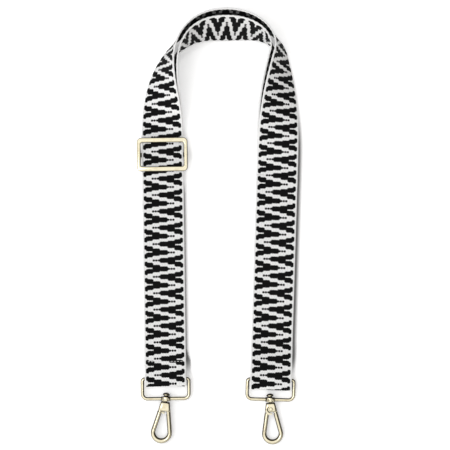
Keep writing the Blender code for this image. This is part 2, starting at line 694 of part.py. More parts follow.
def make_slider(mat, parent):
    """Slider: flat frame above the webbing, cheeks beside it and a centre bar below."""
    width = RING_INNER + 2 * SLIDER_RAIL
    low = FRONT_Z + WEB_THICK / 2 + GAP
    rings = []
    rows = ((0, SLIDER_EDGE), (SLIDER_EDGE, 0), (SLIDER_THICK - SLIDER_EDGE, 0), (SLIDER_THICK, SLIDER_EDGE))
    for z, inset in rows:
        radius = SLIDER_CORNER - inset
        loop = rounded_loop(width - 2 * inset, SLIDER_LENGTH - 2 * inset, [radius] * 4, CORNER_STEPS)
        rings.append([Vector((x, y, low + z)) for x, y in loop])
    frame = keep("slider", loft(rings), mat, parent)
    window_length = SLIDER_LENGTH - 2 * SLIDER_BAR
    rings = []
    rows = (
        (-OVERRUN, SLIDER_EDGE),
        (0, SLIDER_EDGE),
        (SLIDER_EDGE, 0),
        (SLIDER_THICK - SLIDER_EDGE, 0),
        (SLIDER_THICK, SLIDER_EDGE),
        (SLIDER_THICK + OVERRUN, SLIDER_EDGE),
    )
    for z, grow in rows:
        radius = SLIDER_CORNER / 2 + grow
        loop = rounded_loop(RING_INNER + 2 * grow, window_length + 2 * grow, [radius] * 4, CORNER_STEPS)
        rings.append([Vector((x, y, low + z)) for x, y in loop])
    change(frame, keep("slider_window", loft(rings), mat, parent), "DIFFERENCE")
    bar_low = BAR_Z - CENTRE_BAR_THICK / 2
    cheek_top = low + SLIDER_THICK / 2
    for k in (-1, 1):
        xs = (k * RING_INNER / 2, k * (width / 2 - SLIDER_EDGE))
        outline = [
            (-CHEEK_FOOT / 2, bar_low),
            (CHEEK_FOOT / 2, bar_low),
            (CHEEK_FOOT / 2, BAR_Z + CENTRE_BAR_THICK / 2),
            (CHEEK_HEAD / 2, cheek_top),
            (-CHEEK_HEAD / 2, cheek_top),
            (-CHEEK_FOOT / 2, BAR_Z + CENTRE_BAR_THICK / 2),
        ]
        cheek = loft([[Vector((x, y, z)) for y, z in outline] for x in xs])
        change(frame, keep(f"slider_cheek_{k}", cheek, mat, parent), "UNION")
    radius = CENTRE_BAR_THICK / 2
    flat = CENTRE_BAR_WIDTH / 2 - radius
    section = []
    for i in range(2 * CORNER_STEPS + 1):
        a = -math.pi / 2 + math.pi * i / (2 * CORNER_STEPS)
        section.append((flat + radius * math.cos(a), radius * math.sin(a)))
    section += [(-y, -z) for y, z in section]
    reach = RING_INNER / 2 + SLIDER_RAIL / 2
    bar = loft([[Vector((x, y, BAR_Z + z)) for y, z in section] for x in (-reach, reach)])
    change(frame, keep("slider_centre_bar", bar, mat, parent), "UNION")
    return frame


def make_webbing(mat, root, left_leg, right_leg, slider_at):
    """Every stretch of the one length of webbing."""
    seam = LEFT_SLACK + SEAM_RUN
    low_ply = RING_Z - WRAP
    line = [(SEAM_RUN + TAIL_END, FRONT_Z - LAYER), (SEAM_RUN, FRONT_Z - LAYER)]
    line += ease_line(SEAM_RUN, FOLD_RUN, FRONT_Z - LAYER, low_ply)
    line += bend(-LEFT_SLACK, RING_Z, WRAP)
    line.append((SEAM_RUN, FRONT_Z))
    banded("webbing_left_fold", line, mat, left_leg)
    leg_start = RUN[0] + SEAM_RUN + GAP
    ribbon("webbing_left_leg", (leg_start, -LEFT_ROLL_RUN - GAP / 2), False, mat, root)
    ribbon("webbing_outer_arch", arch_runs(0, None), False, mat, root)
    ribbon("webbing_inner_arch", arch_runs(SLIDER_RUN_STEPS, None), True, mat, root)
    ribbon("webbing_slider_run", arch_runs(0, SLIDER_RUN_STEPS + 1), True, mat, root)
    settle = RUN[-1] - FOLD_RUN - RIGHT_SETTLE
    for name, inner in (("webbing_right_leg", False), ("webbing_right_leg_under", True)):
        ribbon(name, (RIGHT_ROLL_RUN + GAP / 2, settle), inner, mat, root)
    line = [(FOLD_RUN + RIGHT_SETTLE - GAP, RIGHT_FRONT_Z - LAYER)]
    line += ease_line(FOLD_RUN + RIGHT_SETTLE - 2 * GAP, FOLD_RUN, RIGHT_FRONT_Z - LAYER, low_ply)
    line += bend(-RIGHT_SLACK, RING_Z, WRAP)
    line += ease_line(FOLD_RUN, FOLD_RUN + RIGHT_SETTLE - 2 * GAP, FRONT_Z, RIGHT_FRONT_Z)
    line.append((FOLD_RUN + RIGHT_SETTLE - GAP, RIGHT_FRONT_Z))
    banded("webbing_right_fold", line, mat, right_leg)
    wrap = CENTRE_BAR_THICK / 2 + GAP + WEB_THICK / 2
    turn_y = -(CENTRE_BAR_WIDTH - CENTRE_BAR_THICK) / 2
    line = [(LOOP_TAIL, BAR_Z + wrap - LAYER), (LOOP_SEAM, BAR_Z + wrap - LAYER)]
    line += ease_line(LOOP_SEAM, CENTRE_BAR_WIDTH / 2 + GAP, BAR_Z + wrap - LAYER, BAR_Z - wrap)
    line += bend(turn_y, BAR_Z, wrap)
    line.append((SLIDER_LENGTH / 2, BAR_Z + wrap))
    banded("webbing_slider_loop", line, mat, slider_at)


def build():
    """Makes the whole strap and centres it on the table."""
    for obj in list(bpy.data.objects):
        bpy.data.objects.remove(obj, do_unlink=True)
    web = paint("webbing", (0.45, 0.44, 0.42), 0.85, 0.0)
    gold = paint("pale_gold", (0.83, 0.71, 0.52), 0.2, 1.0)
    steel = paint("spring_steel", (0.6, 0.6, 0.6), 0.3, 1.0)
    root = empty("strap_origin", None, Matrix())
    legs = {}
    for side, sign, spread, rise, length, lean in (
        ("left", -1, LEFT_SPREAD, LEFT_RISE, LEFT_LEG, LEFT_LEAN),
        ("right", 1, RIGHT_SPREAD, RIGHT_RISE, RIGHT_LEG, RIGHT_LEAN),
    ):
        at = Matrix.Translation((sign * (spread - leg_offset(length, lean)), -rise - length, 0))
        legs[side] = empty(f"{side}_leg", root, at @ Matrix.Rotation(-sign * lean, 4, "Z"))
    flat_length = -LEFT_ROLL_RUN - RUN[0]
    slider_y = flat_length - SLIDER_LENGTH / 2
    slider_at = empty("slider_at", legs["left"], Matrix.Translation((0, slider_y, 0)))
    make_webbing(web, root, legs["left"], legs["right"], slider_at)
    make_slider(gold, slider_at)
    for side, sign, tilt in (("left", -1, LEFT_TILT), ("right", 1, RIGHT_TILT)):
        face = sign  # the left hook lies with its closed face up
        ring_at = empty(f"{side}_ring_axis", legs[side], Matrix.Translation((0, 0, RING_Z)))
        make_ring(side, gold, ring_at)
        turn = Matrix.Translation((0, -RING_PITCH, 0)) @ Matrix.Rotation(sign * tilt, 4, "Z")
        swivel = empty(f"{side}_swivel_axis", ring_at, turn)
        make_dome(side, gold, swivel)
        make_hook(side, face, gold, swivel)
        pivot = empty(f"{side}_gate_axis", swivel, Matrix.Translation((0, -PIVOT_DROP, 0)))
        make_gate(side, face, gold, pivot)
        make_pin(side, face, gold, pivot)
        make_spring(side, face, steel, pivot)
    bpy.context.view_layer.update()
    corners = [
        obj.matrix_world @ Vector(c)
        for obj in bpy.data.objects
        if obj.type == "MESH" and not obj.hide_render
        for c in obj.bound_box
    ]
    low = Vector([min(c[k] for c in corners) for k in range(3)])
    high = Vector([max(c[k] for c in corners) for k in range(3)])
    root.location = (-(low.x + high.x) / 2, -(low.y + high.y) / 2, -low.z)


build()
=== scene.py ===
"""Looks of a bag strap: black and white jacquard webbing with pale gold hardware.

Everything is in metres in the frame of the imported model. Webbing and hardware follow the same
plan and sizes as their solids, with finer meshes. The webbing is two flat legs and an arch that
stands on its outer edge. The weave's motifs are set where the camera of the photograph sees them.
"""

import math

import bmesh
import bpy
import numpy as np
from mathutils import Matrix, Vector


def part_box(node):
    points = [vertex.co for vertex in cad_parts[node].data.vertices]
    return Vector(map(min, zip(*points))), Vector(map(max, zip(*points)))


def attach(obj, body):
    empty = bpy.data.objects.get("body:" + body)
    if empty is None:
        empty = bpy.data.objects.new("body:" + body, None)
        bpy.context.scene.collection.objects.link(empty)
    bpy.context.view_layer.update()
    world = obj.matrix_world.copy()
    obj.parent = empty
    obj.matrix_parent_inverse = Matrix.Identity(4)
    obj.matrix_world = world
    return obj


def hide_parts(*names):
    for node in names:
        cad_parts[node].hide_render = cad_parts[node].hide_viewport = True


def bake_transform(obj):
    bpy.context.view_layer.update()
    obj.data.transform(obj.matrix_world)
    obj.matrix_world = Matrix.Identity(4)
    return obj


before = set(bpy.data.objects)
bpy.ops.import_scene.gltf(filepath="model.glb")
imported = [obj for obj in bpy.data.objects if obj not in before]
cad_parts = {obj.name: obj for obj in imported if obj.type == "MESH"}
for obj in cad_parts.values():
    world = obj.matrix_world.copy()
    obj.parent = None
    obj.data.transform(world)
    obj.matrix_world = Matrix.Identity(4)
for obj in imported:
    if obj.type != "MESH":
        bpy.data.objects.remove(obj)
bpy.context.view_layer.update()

# Webbing, as the solids have it
GAP = 0.0003
OVERRUN = 0.002
WEB_WIDTH = 0.038
WEB_THICK = 0.0015
LEFT_SPREAD = 0.0577
RIGHT_SPREAD = 0.0478
LEFT_RISE = 0.0745
RIGHT_RISE = 0.032
LEFT_FULLNESS = 2.35
RIGHT_FULLNESS = 2.1
LEFT_LEG = 0.2465
RIGHT_LEG = 0.2898
LEFT_LEAN = math.radians(0.75)
RIGHT_LEAN = math.radians(1.75)
LEAN_EASE = 0.040
CROWN_ROLL = math.radians(106)
LEFT_ROLL_RUN = 0.138
RIGHT_ROLL_RUN = 0.170
LEFT_ROLL_EASE = 1.3
RIGHT_ROLL_EASE = 1.9
TOP_GAPE = 0.0034
BOTTOM_GAPE = 0.0100
SLIDER_REACH = 0.0285
LEFT_STEPS = 24
LEFT_SLACK = 0.0035
RIGHT_SLACK = 0.0059
SEAM_RUN = 0.0160
TAIL_END = 0.0045
RIGHT_SETTLE = 0.034
FOLD_RUN = 0.0045

# Slider
SLIDER_LENGTH = 0.030
SLIDER_BAR = 0.0042
SLIDER_RAIL = 0.0033
SLIDER_THICK = 0.0025
SLIDER_CORNER = 0.0036
SLIDER_EDGE = 0.0009  # rounder than in the solid, as the photograph shows it
CENTRE_BAR_WIDTH = 0.0040
CENTRE_BAR_THICK = 0.0020
CHEEK_FOOT = 0.0046
CHEEK_HEAD = 0.0120
LOOP_SEAM = 0.0100
LOOP_TAIL = 0.0125

# Rings and swivels
RING_WIRE = 0.0031
RING_PITCH = 0.0177
RING_TOP_CORNER = 0.0005
RING_CORNER = 0.0030
BOSS_WIDTH = 0.0089
BOSS_DEPTH = 0.0078
BOSS_LENGTH = 0.0041
BOSS_EDGE = 0.0007
OVAL_WIDTH = 0.0015
OVAL_LENGTH = 0.0023
OVAL_DEPTH = 0.0008
OVAL_SPREAD = 0.0036
POST_WIDTH = 0.0032
DOME_WIDTH = 0.0067
DOME_FOOT_WIDTH = 0.0048
DOME_HEIGHT = 0.0027
DOME_RIM = 0.0008
POST_GRIP = 0.0015
LEFT_TILT = math.radians(8.25)
RIGHT_TILT = math.radians(5.75)

# Hooks and gates
HOOK_LENGTH = 0.0403
HOOK_WIDTH = 0.0190
HOOK_SIDE = 0.0041
HOOK_FOOT = 0.0045
HOOK_THICK = 0.0046
NECK_END = 0.0112
NECK_TOP_WIDTH = 0.0072
NECK_FOOT_WIDTH = 0.0114
NECK_THICK = 0.0054
NECK_EDGE = 0.0005
NECK_ROUND = 0.0055
NECK_POWER = 4.0  # how square the section of the neck is
NOSE_DROP = 0.0290
NOSE_SLANT = math.radians(38)
PIVOT_DROP = 0.0085
CHEEK_THICK = 0.0012
CAP_THICK = 0.0008
DISC_WIDTH = 0.0054
KNUCKLE_BORE = 0.0072
KNUCKLE_WIDTH = 0.0100
EYE_WIDTH = 0.0036
TONGUE_THICK = 0.0012
PIN_WIDTH = 0.0016
PIN_FLOOR = 0.0005
PIN_HEAD_WIDTH = 0.0030
PIN_HEAD_HEIGHT = 0.0004
SPRING_WIRE = 0.00035
SPRING_TURNS = 2
SPRING_LEG = 0.0026
GATE_SWING = math.radians(24)
SWING_SPARE = math.radians(6)
NECK_ROUND_TOP = math.radians(86)
NECK_ROUND_END = math.radians(18)
KNUCKLE_START = math.radians(-8)
KNUCKLE_END = math.radians(85)
ROOT_START = math.radians(30)
ROOT_END = math.radians(55)
GROOVE_END = math.radians(140)
EYE_START = math.radians(75)
EYE_END = math.radians(365)
TONGUE_START = math.radians(30)
TONGUE_END = math.radians(50)

# Counts of the finer meshes
WIRE_SIDES = 36
CORNER_STEPS = 10
EDGE_STEPS = 4
HOOK_STEPS = 56
HOOK_SIDES = 36
NECK_SIDES = 72
ROUND_SIDES = 48
SPRING_SIDES = 12
SPRING_STEPS = 32
FOLD_STEPS = 24
DENSE = 400
ARC_STEP = math.radians(6)
SHARP = math.radians(32)  # edges that bend more than this stay crisp

# Worked out from those above
LAYER = WEB_THICK + GAP
FRONT_Z = WEB_THICK + 2 * GAP + CENTRE_BAR_THICK + LAYER + WEB_THICK / 2
RIGHT_FRONT_Z = LAYER + WEB_THICK / 2
BAR_Z = LAYER + CENTRE_BAR_THICK / 2
WRAP = RING_WIRE / 2 + GAP + WEB_THICK / 2
RING_Z = FRONT_Z - WRAP
RING_INNER = WEB_WIDTH + 2 * GAP
SEAT = BOSS_LENGTH / 2 + GAP + NECK_TOP_WIDTH / 2 * math.sin(LEFT_TILT)
DOME_SEAT = BOSS_LENGTH / 2 + GAP + DOME_FOOT_WIDTH / 2 * math.sin(LEFT_TILT)
NECK_BORE = POST_WIDTH + 2 * GAP + BOSS_LENGTH * math.tan(LEFT_TILT)
SLOT_FLOOR = -NECK_THICK / 2 + CHEEK_THICK
SLOT_ROOF = NECK_THICK / 2 - CAP_THICK
SLIDER_RUN_STEPS = round(SLIDER_REACH / LEFT_ROLL_RUN * LEFT_STEPS)

# Weave: cords along the webbing, picks across it
PERIOD = 0.0147  # of the motifs, where no tree of the photograph says more
PICKS = 12  # in a period
DRAWN_IN = 0.0004  # the woven edge, from the nominal one
SELVEDGE = 0.00215
CORDS = 15
CORD = (WEB_WIDTH - 2 * SELVEDGE) / CORDS
PICK = PERIOD / PICKS
CORD_RELIEF = 0.00010
SELVEDGE_RADIUS = 0.0009
SELVEDGE_STEPS = 4
CORD_COLUMNS = 4  # columns of the mesh in each cord
ROW = 0.0009  # length of the mesh's rows
TREE_RELIEF = 0.00012  # how far the trees stand proud on the face
TREE_SLOPE = 0.6  # in picks
RIPPLE = 0.00028  # of the edges where the webbing stands
RIPPLE_PICKS = 3

# One tree of the weave, from the edge inward: first and last cord, middle and half length in picks
BLOCKS = (
    (-0.15, 1.05, 3.80, 1.35),
    (0.50, 3.22, 2.86, 1.58),
    (-0.15, 1.05, -2.60, 1.45),
    (0.50, 3.22, -1.63, 1.50),
    (2.95, 6.10, 0.35, 2.48),
    (5.90, 9.10, 0.02, 1.56),
)
TREE_BLOCK = 4  # the block that is measured in the photograph
DOTS = (9.15, 11.85)
DOT_SHARE = 0.72
BULGE_SHARE = 0.26
FACE_GROWTH = 0.12  # how much fatter the trees are on the face, in picks
BACK_SHRINK = 0.46  # how much slimmer they are on the back
CORNER_POWER = 4.0  # how square the blocks' corners are
EDGE_SOFTNESS = 0.10
FACING_SHARE = 0.523  # place of the tree from the other edge, in the period

# Photograph and camera
PIXEL = 0.0009  # on the table
FRAME_PIXELS = 450
CAMERA_X = 0.00605
CAMERA_Y = 0.0041
CAMERA_HEIGHT = 1.0
SENSOR = 36.0

# Trees in the photograph, in its pixels: down for the legs, across for the arch's inner face
LEFT_TREE_FIRST = 350.38
LEFT_TREE_LAST = 203.11
LEFT_TREES = 9  # periods between those two
WINDOW_TREE = 159.7  # inside the slider's frame
WINDOW_PLACE = 12  # its number, counted from the first
UPPER_TREE_FIRST = 128.8
UPPER_TREE_LAST = 77.9
UPPER_PLACE = 14
UPPER_TREES = 3
RIGHT_TREE_FIRST = 176.2
RIGHT_TREE_LAST = 326.7
RIGHT_TREES = 9
ARCH_TREE_FIRST = 259.7
ARCH_TREE_LAST = 194.0
ARCH_TREES = 4

# Stitches
STITCH_LENGTH = 0.0022
STITCH_PITCH = 0.0029
STITCH_WIDTH = 0.00048
STITCH_RISE = 0.00012
STITCH_STEPS = 8
STITCH_SIDES = 8

# Bake map: lanes side by side, each with a margin
LANE_MARGIN = 0.02

# Colours
WHITE_YARN = (0.84, 0.84, 0.84, 1)
# painted shade of white yarn in its furrows, also the tone of its random patches
WHITE_SHADE_AND_PATCHES = (0.60, 0.60, 0.60, 1)
# the back's white: dulled by its black picks, and painted darker for the shade in the gap between
# the arch's layers
BACK_WHITE_DULLED_AND_SHADED = (0.22, 0.22, 0.22, 1)
# painted shade of the back's white in its furrows, also the tone of its random patches
BACK_SHADE_AND_PATCHES = (0.12, 0.12, 0.12, 1)
BLACK_YARN = (0.0042, 0.0042, 0.0045, 1)
# painted shade of black yarn in its furrows
BLACK_FURROW_SHADE = (0.0015, 0.0015, 0.0018, 1)
GOLD = (0.70, 0.645, 0.475, 1)
GOLD_DULL = (0.62, 0.545, 0.38, 1)
# dark colour of the painted shade in the gold's hollows and on its sides
GOLD_PAINTED_SHADE = (0.055, 0.045, 0.028, 1)
STEEL = (0.60, 0.60, 0.60, 1)
STEEL_DULL = (0.42, 0.42, 0.42, 1)
FLOOR_COLOUR = (0.92, 0.92, 0.92, 1)
WHITE = (1, 1, 1, 1)

# Webbing's surface, where lengths aren't in metres but in its own units
RIDGE_POWER = 4.0  # how narrow the furrows between cords and picks are
PICK_SHARE = 0.7  # of a furrow between picks, against one between cords
STRANDS = 4.0  # in a cord
STRAND_POWER = 2.0
STRAND_SHARE = 0.25
FIBRE_SCALE = 160.0
FIBRE_SHARE = 0.5
# how far the furrows go towards their painted shade colour
FURROW_SHADE = 0.45
PATCH_SCALE = 35.0
PATCHES = (0.35, 0.75, 0.0, 0.10)
WEAVE_BUMP = (0.00012, 0.6)
TWIST_SCALE = 1400.0
TWIST_BUMP = (0.00004, 0.5)

# Metal's surface
EDGE_RADIUS = 0.00015
EDGE_SAMPLES = 6
# Painted shade of the gold: its hollows, found by occlusion, and its sides go dark
HOLLOW_REACH = 0.003
HOLLOW_SAMPLES = 8
HOLLOW_SHADE = (0.55, 0.95)
SIDE_SHADE = (0.55, 0.98)
POLISH_SCALE = 700.0
POLISH = (0.10, 0.06)  # spread and least roughness
TARNISH_SCALE = 160.0
TARNISH = (0.45, 0.75)
CASTING_SCALE = 300.0
CASTING_BUMP = (0.00006, 0.35)
GRAIN_SCALE = 2500.0
GRAIN = (0.2, 0.2)  # spread and least roughness of the wire

# Table: its size, its glow and the painted shadow along the legs
FLOOR_REACH = 3.0
FLOOR_GLOW = 0.40
# colour of the painted shadow beside the legs
PAINTED_SHADOW_COLOUR = (0.22, 0.22, 0.22, 1)
NEAR_REACH = 0.008
NEAR_SAMPLES = 48
NEAR_SIDE = (-0.64, 0.20, 0.74)  # where a spot looks for webbing, so the painted shadow falls to the right
NEAR_SHADE = (0.50, 0.92)
NEAR_SHADE_LEFT = (0.78, 0.93)
NEAR_MIDDLE = (-0.02, 0.02)  # across, from the left leg's values to the right leg's
NEAR_FOOT = (-0.135, -0.115)  # along, where the shade begins
NEAR_TOP_LEFT = (0.030, 0.046)  # and where it ends
NEAR_TOP = (0.07, 0.12)
NEAR_SHARE = 0.16  # of the painted shadow that is left elsewhere

# Light: a tent that is open at the hooks' end, and a key
SKY_LEAN = 0.35  # of the bright top towards the left
OVERHEAD = (1.36, 1.36, 1.36, 1)
HORIZON = (0.05, 0.04, 0.025, 1)
FRONT = (2.05, 2.03, 1.97, 1)
SKY_RISE = (0.53, 0.82)
FRONT_SPREAD = (0.00, 0.50)
FRONT_RISE = (-0.02, 0.06)
FRONT_FALL = (0.28, 0.48)
KEY_PLACE = (-0.50, -0.10, 1.2)
KEY_SIZE = 0.45
KEY_POWER = 1.7


def smooth(share):
    """An S curve from 0 to 1."""
    t = min(max(share, 0.0), 1.0)
    return t * t * (3 - 2 * t)


# Plan of the webbing, with the same formulas as its solids


def leg_offset(down, lean):
    """How far a leg has moved towards the middle, at a distance below the foot of the arch."""
    if down < LEAN_EASE:
        return math.tan(lean) * down * down / (2 * LEAN_EASE)
    return math.tan(lean) * (down - LEAN_EASE / 2)


def half_plan(side):
    """Plan points from the end of one leg to the crown, which is at the origin."""
    left = side < 0
    spread = LEFT_SPREAD if left else RIGHT_SPREAD
    rise = LEFT_RISE if left else RIGHT_RISE
    power = 2 / (LEFT_FULLNESS if left else RIGHT_FULLNESS)
    length = LEFT_LEG if left else RIGHT_LEG
    lean = LEFT_LEAN if left else RIGHT_LEAN
    points = []
    for i in range(DENSE):
        down = length * (1 - i / DENSE)
        points.append((side * (spread - leg_offset(down, lean)), -rise - down))
    for i in range(DENSE + 1):
        angle = math.pi / 2 * i / DENSE
        across = spread * max(math.cos(angle), 0) ** power
        points.append((side * across, rise * (math.sin(angle) ** power - 1)))
    return points


def strap_plan():
    """Plan points of the whole strap with their distance from the crown, negative on the left."""
    points = half_plan(-1) + half_plan(1)[-2::-1]
    plan = np.array(points)
    steps = np.linalg.norm(np.diff(plan, axis=0), axis=1)
    run = np.concatenate([[0], np.cumsum(steps)])
    return plan, run - run[2 * DENSE]


PLAN, RUN = strap_plan()


def standing(run):
    """How far the webbing has turned up, from 0 on a leg to 1 at the crown."""
    left = run < 0
    length = LEFT_ROLL_RUN if left else RIGHT_ROLL_RUN
    ease = LEFT_ROLL_EASE if left else RIGHT_ROLL_EASE
    share = max(0.0, 1 - abs(run) / length) ** ease
    return share * (2 - share)


def station(run, inner):
    """Outer edge, inner edge and outward normal of one layer, at a distance from the crown."""
    span = WEB_WIDTH / 8
    ahead, behind, here = (
        Vector([float(np.interp(at, RUN, PLAN[:, k])) for k in (0, 1)] + [0])
        for at in (run + span, run - span, run)
    )
    along = (ahead - behind).normalized()
    inward = Vector((along.y, -along.x, 0))
    up = standing(run)
    roll = CROWN_ROLL * up
    across = inward * math.cos(roll) + Vector((0, 0, math.sin(roll)))
    outward = across.cross(along)
    spare = (FRONT_Z if run < 0 else RIGHT_FRONT_Z) - WEB_THICK / 2 - LAYER
    foot_z = WEB_THICK / 2 + LAYER * max(math.cos(roll), 0) + spare * (1 - math.sqrt(up))
    bottom = here - inward * (WEB_WIDTH / 2 * math.cos(roll)) + Vector((0, 0, foot_z))
    top = bottom + across * WEB_WIDTH
    if inner:
        share = (1 - math.cos(roll)) / (1 - math.cos(CROWN_ROLL))
        bottom, foot = bottom - outward * (LAYER + BOTTOM_GAPE * share), bottom.z
        top -= outward * (LAYER + TOP_GAPE * share)
        if math.sin(roll) > WEB_THICK / WEB_WIDTH:
            rest = min(max(bottom.z, WEB_THICK / 2), max(foot, WEB_THICK / 2))
            slide = across * ((rest - bottom.z) / math.sin(roll))
            bottom, top = bottom + slide, top + slide
        outward = (top - bottom).cross(along).normalized()
    return bottom, top, outward


def stretch(first, last, inner):
    """Stations of a stretch between two distances from the crown."""
    count = max(2, round(abs(last - first) / ROW))
    rows = []
    for i in range(count + 1):
        outer, inside, normal = station(first + (last - first) * i / count, inner)
        rows.append((outer, inside, -normal if inner else normal))
    return rows


def model_shift():
    """From the crown's frame to the model's, read off the flat left leg."""
    low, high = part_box("webbing_left_leg")
    rows = stretch(RUN[0] + SEAM_RUN + GAP, -LEFT_ROLL_RUN - GAP / 2, False)
    xs = [p.x for row in rows for p in row[:2]]
    ys = [p.y for row in rows for p in row[:2]]
    x = (low.x + high.x - min(xs) - max(xs)) / 2
    y = (low.y + high.y - min(ys) - max(ys)) / 2
    return Vector((x, y, (low.z + high.z) / 2 - FRONT_Z))


ORIGIN = model_shift()


def leg_place(left):
    """Frame of a leg under its ring's top bar, in the model."""
    sign = -1 if left else 1
    spread, rise = (LEFT_SPREAD, LEFT_RISE) if left else (RIGHT_SPREAD, RIGHT_RISE)
    length, lean = (LEFT_LEG, LEFT_LEAN) if left else (RIGHT_LEG, RIGHT_LEAN)
    at = Vector((sign * (spread - leg_offset(length, lean)), -rise - length, 0))
    return Matrix.Translation(at + ORIGIN) @ Matrix.Rotation(-sign * lean, 4, "Z")


def slider_place():
    """Frame of the slider under its middle, in the model."""
    along = -LEFT_ROLL_RUN - RUN[0] - SLIDER_LENGTH / 2
    return leg_place(True) @ Matrix.Translation((0, along, 0))


def shifted(rows):
    """Stations moved from the crown's frame to the model's."""
    return [(a + ORIGIN, b + ORIGIN, n) for a, b, n in rows]


def fold(line, place, sign):
    """Stations along (y, z) points in a leg's frame. The first edge is at sign times +X."""
    points = [Vector((0, y, z)) for y, z in line]
    dense = [points[0]]
    for a, b in zip(points, points[1:]):
        count = max(1, round((b - a).length / ROW))
        dense += [a.lerp(b, i / count) for i in range(1, count + 1)]
    rows = []
    half = Vector((sign * WEB_WIDTH / 2, 0, 0))
    turn = place.to_3x3()
    for i, p in enumerate(dense):
        ahead, behind = dense[min(i + 1, len(dense) - 1)], dense[max(i - 1, 0)]
        along = (ahead - behind).normalized()
        normal = along.cross(half).normalized()
        rows.append((place @ (p + half), place @ (p - half), turn @ normal))
    return rows


def bend(centre_y, centre_z, radius):
    """Half a turn from under a bar to over it."""
    return [
        (centre_y - radius * math.sin(a), centre_z - radius * math.cos(a))
        for a in (math.pi * i / FOLD_STEPS for i in range(FOLD_STEPS + 1))
    ]


def ease_line(y_start, y_end, z_start, z_end):
    """An S curve between two heights, without its first point."""
    shares = [i / FOLD_STEPS for i in range(1, FOLD_STEPS + 1)]
    wide, tall = y_end - y_start, z_end - z_start
    return [(y_start + wide * t, z_start + tall * smooth(t)) for t in shares]


def join(*stretches):
    """Stretches end to end, without the rows that they share."""
    rows = list(stretches[0])
    for more in stretches[1:]:
        skip = 1 if (more[0][0] - rows[-1][0]).length < 2 * GAP else 0
        rows += more[skip:]
    return rows


# Node graphs


class Graph:
    """The node tree of a material or world, written as sums."""

    def __init__(self, owner):
        self.owner = owner
        owner.use_nodes = True
        self.tree = owner.node_tree
        nodes = self.tree.nodes
        self.shader = nodes.get("Principled BSDF") or nodes["Background"]

    def node(self, kind, **settings):
        node = self.tree.nodes.new(kind)
        for key, value in settings.items():
            setattr(node, key, value)
        return node

    def put(self, socket, value):
        if isinstance(value, bpy.types.NodeSocket):
            self.tree.links.new(value, socket)
        else:
            socket.default_value = value

    def sum(self, operation, *values, clamp=False):
        node = self.node("ShaderNodeMath", operation=operation, use_clamp=clamp)
        for socket, value in zip(node.inputs, values):
            self.put(socket, value)
        return node.outputs[0]

    def mix(self, factor, low, high):
        node = self.node("ShaderNodeMix", data_type="RGBA")
        self.put(node.inputs[0], factor)
        self.put(node.inputs[6], low)
        self.put(node.inputs[7], high)
        return node.outputs[2]

    def step(self, value, low, high, start=0.0, end=1.0):
        node = self.node("ShaderNodeMapRange", interpolation_type="SMOOTHSTEP")
        for socket, number in zip(node.inputs, (value, low, high, start, end)):
            self.put(socket, number)
        return node.outputs[0]

    def coords(self, kind):
        return self.node("ShaderNodeTexCoord").outputs[kind]

    def split(self, vector):
        node = self.node("ShaderNodeSeparateXYZ")
        self.put(node.inputs[0], vector)
        return node.outputs

    def openness(self, reach, samples):
        """An occlusion node, whose output is 1 where nothing is near."""
        node = self.node("ShaderNodeAmbientOcclusion", samples=samples)
        node.inputs["Distance"].default_value = reach
        return node

    def noise(self, vector, scale, detail=2.0):
        node = self.node("ShaderNodeTexNoise")
        self.put(node.inputs["Vector"], vector)
        node.inputs["Scale"].default_value = scale
        node.inputs["Detail"].default_value = detail
        return node.outputs[0]

    def bump(self, height, distance, strength, normal=None):
        node = self.node("ShaderNodeBump")
        self.put(node.inputs["Height"], height)
        node.inputs["Distance"].default_value = distance
        node.inputs["Strength"].default_value = strength
        if normal is not None:
            self.put(node.inputs["Normal"], normal)
        self.put(self.shader.inputs["Normal"], node.outputs[0])

    def set(self, **values):
        for key, value in values.items():
            self.put(self.shader.inputs[key.replace("_", " ")], value)


def block_depth(g, x, t, swell, block):
    """How deep a point is inside one rounded block, in picks, below zero outside."""
    first, last, centre, half = block
    reach = (last - first) / 2 * CORD / PICK
    wide = g.sum("MULTIPLY", g.sum("SUBTRACT", x, (first + last) / 2), CORD / PICK / reach)
    tall = g.sum("DIVIDE", g.sum("SUBTRACT", t, centre), g.sum("ADD", swell, half))
    wide = g.sum("POWER", g.sum("ABSOLUTE", wide), CORNER_POWER)
    tall = g.sum("POWER", g.sum("ABSOLUTE", tall), CORNER_POWER)
    off = g.sum("POWER", g.sum("ADD", wide, tall), 1 / CORNER_POWER)
    return g.sum("MULTIPLY_ADD", off, -min(half, reach), min(half, reach))


def tree(g, x, t):
    """How deep a point is inside the tree, in picks. x is in cords from the edge, t in picks."""
    off = g.sum("MULTIPLY_ADD", g.sum("FRACT", x), 2.0, -1.0)
    square = g.sum("MULTIPLY", off, off)
    swell = g.sum("MULTIPLY_ADD", square, -BULGE_SHARE, BULGE_SHARE)
    best = None
    for block in BLOCKS:
        deep = block_depth(g, x, t, swell, block)
        best = deep if best is None else g.sum("MAXIMUM", best, deep)
    scale = (CORD / PICK / 2) ** 2
    away = g.sum("SQRT", g.sum("ADD", g.sum("MULTIPLY", square, scale), g.sum("MULTIPLY", t, t)))
    dot = g.sum("SUBTRACT", DOT_SHARE, away)
    within = g.sum("MINIMUM", g.sum("SUBTRACT", x, DOTS[0]), g.sum("SUBTRACT", DOTS[1], x))
    return g.sum("MAXIMUM", best, g.sum("MINIMUM", dot, within))


def ridge(g, value, power):
    """0 in the middle of each unit and 1 at its ends."""
    off = g.sum("MULTIPLY_ADD", g.sum("FRACT", value), 2.0, -1.0)
    return g.sum("POWER", g.sum("ABSOLUTE", off), power)


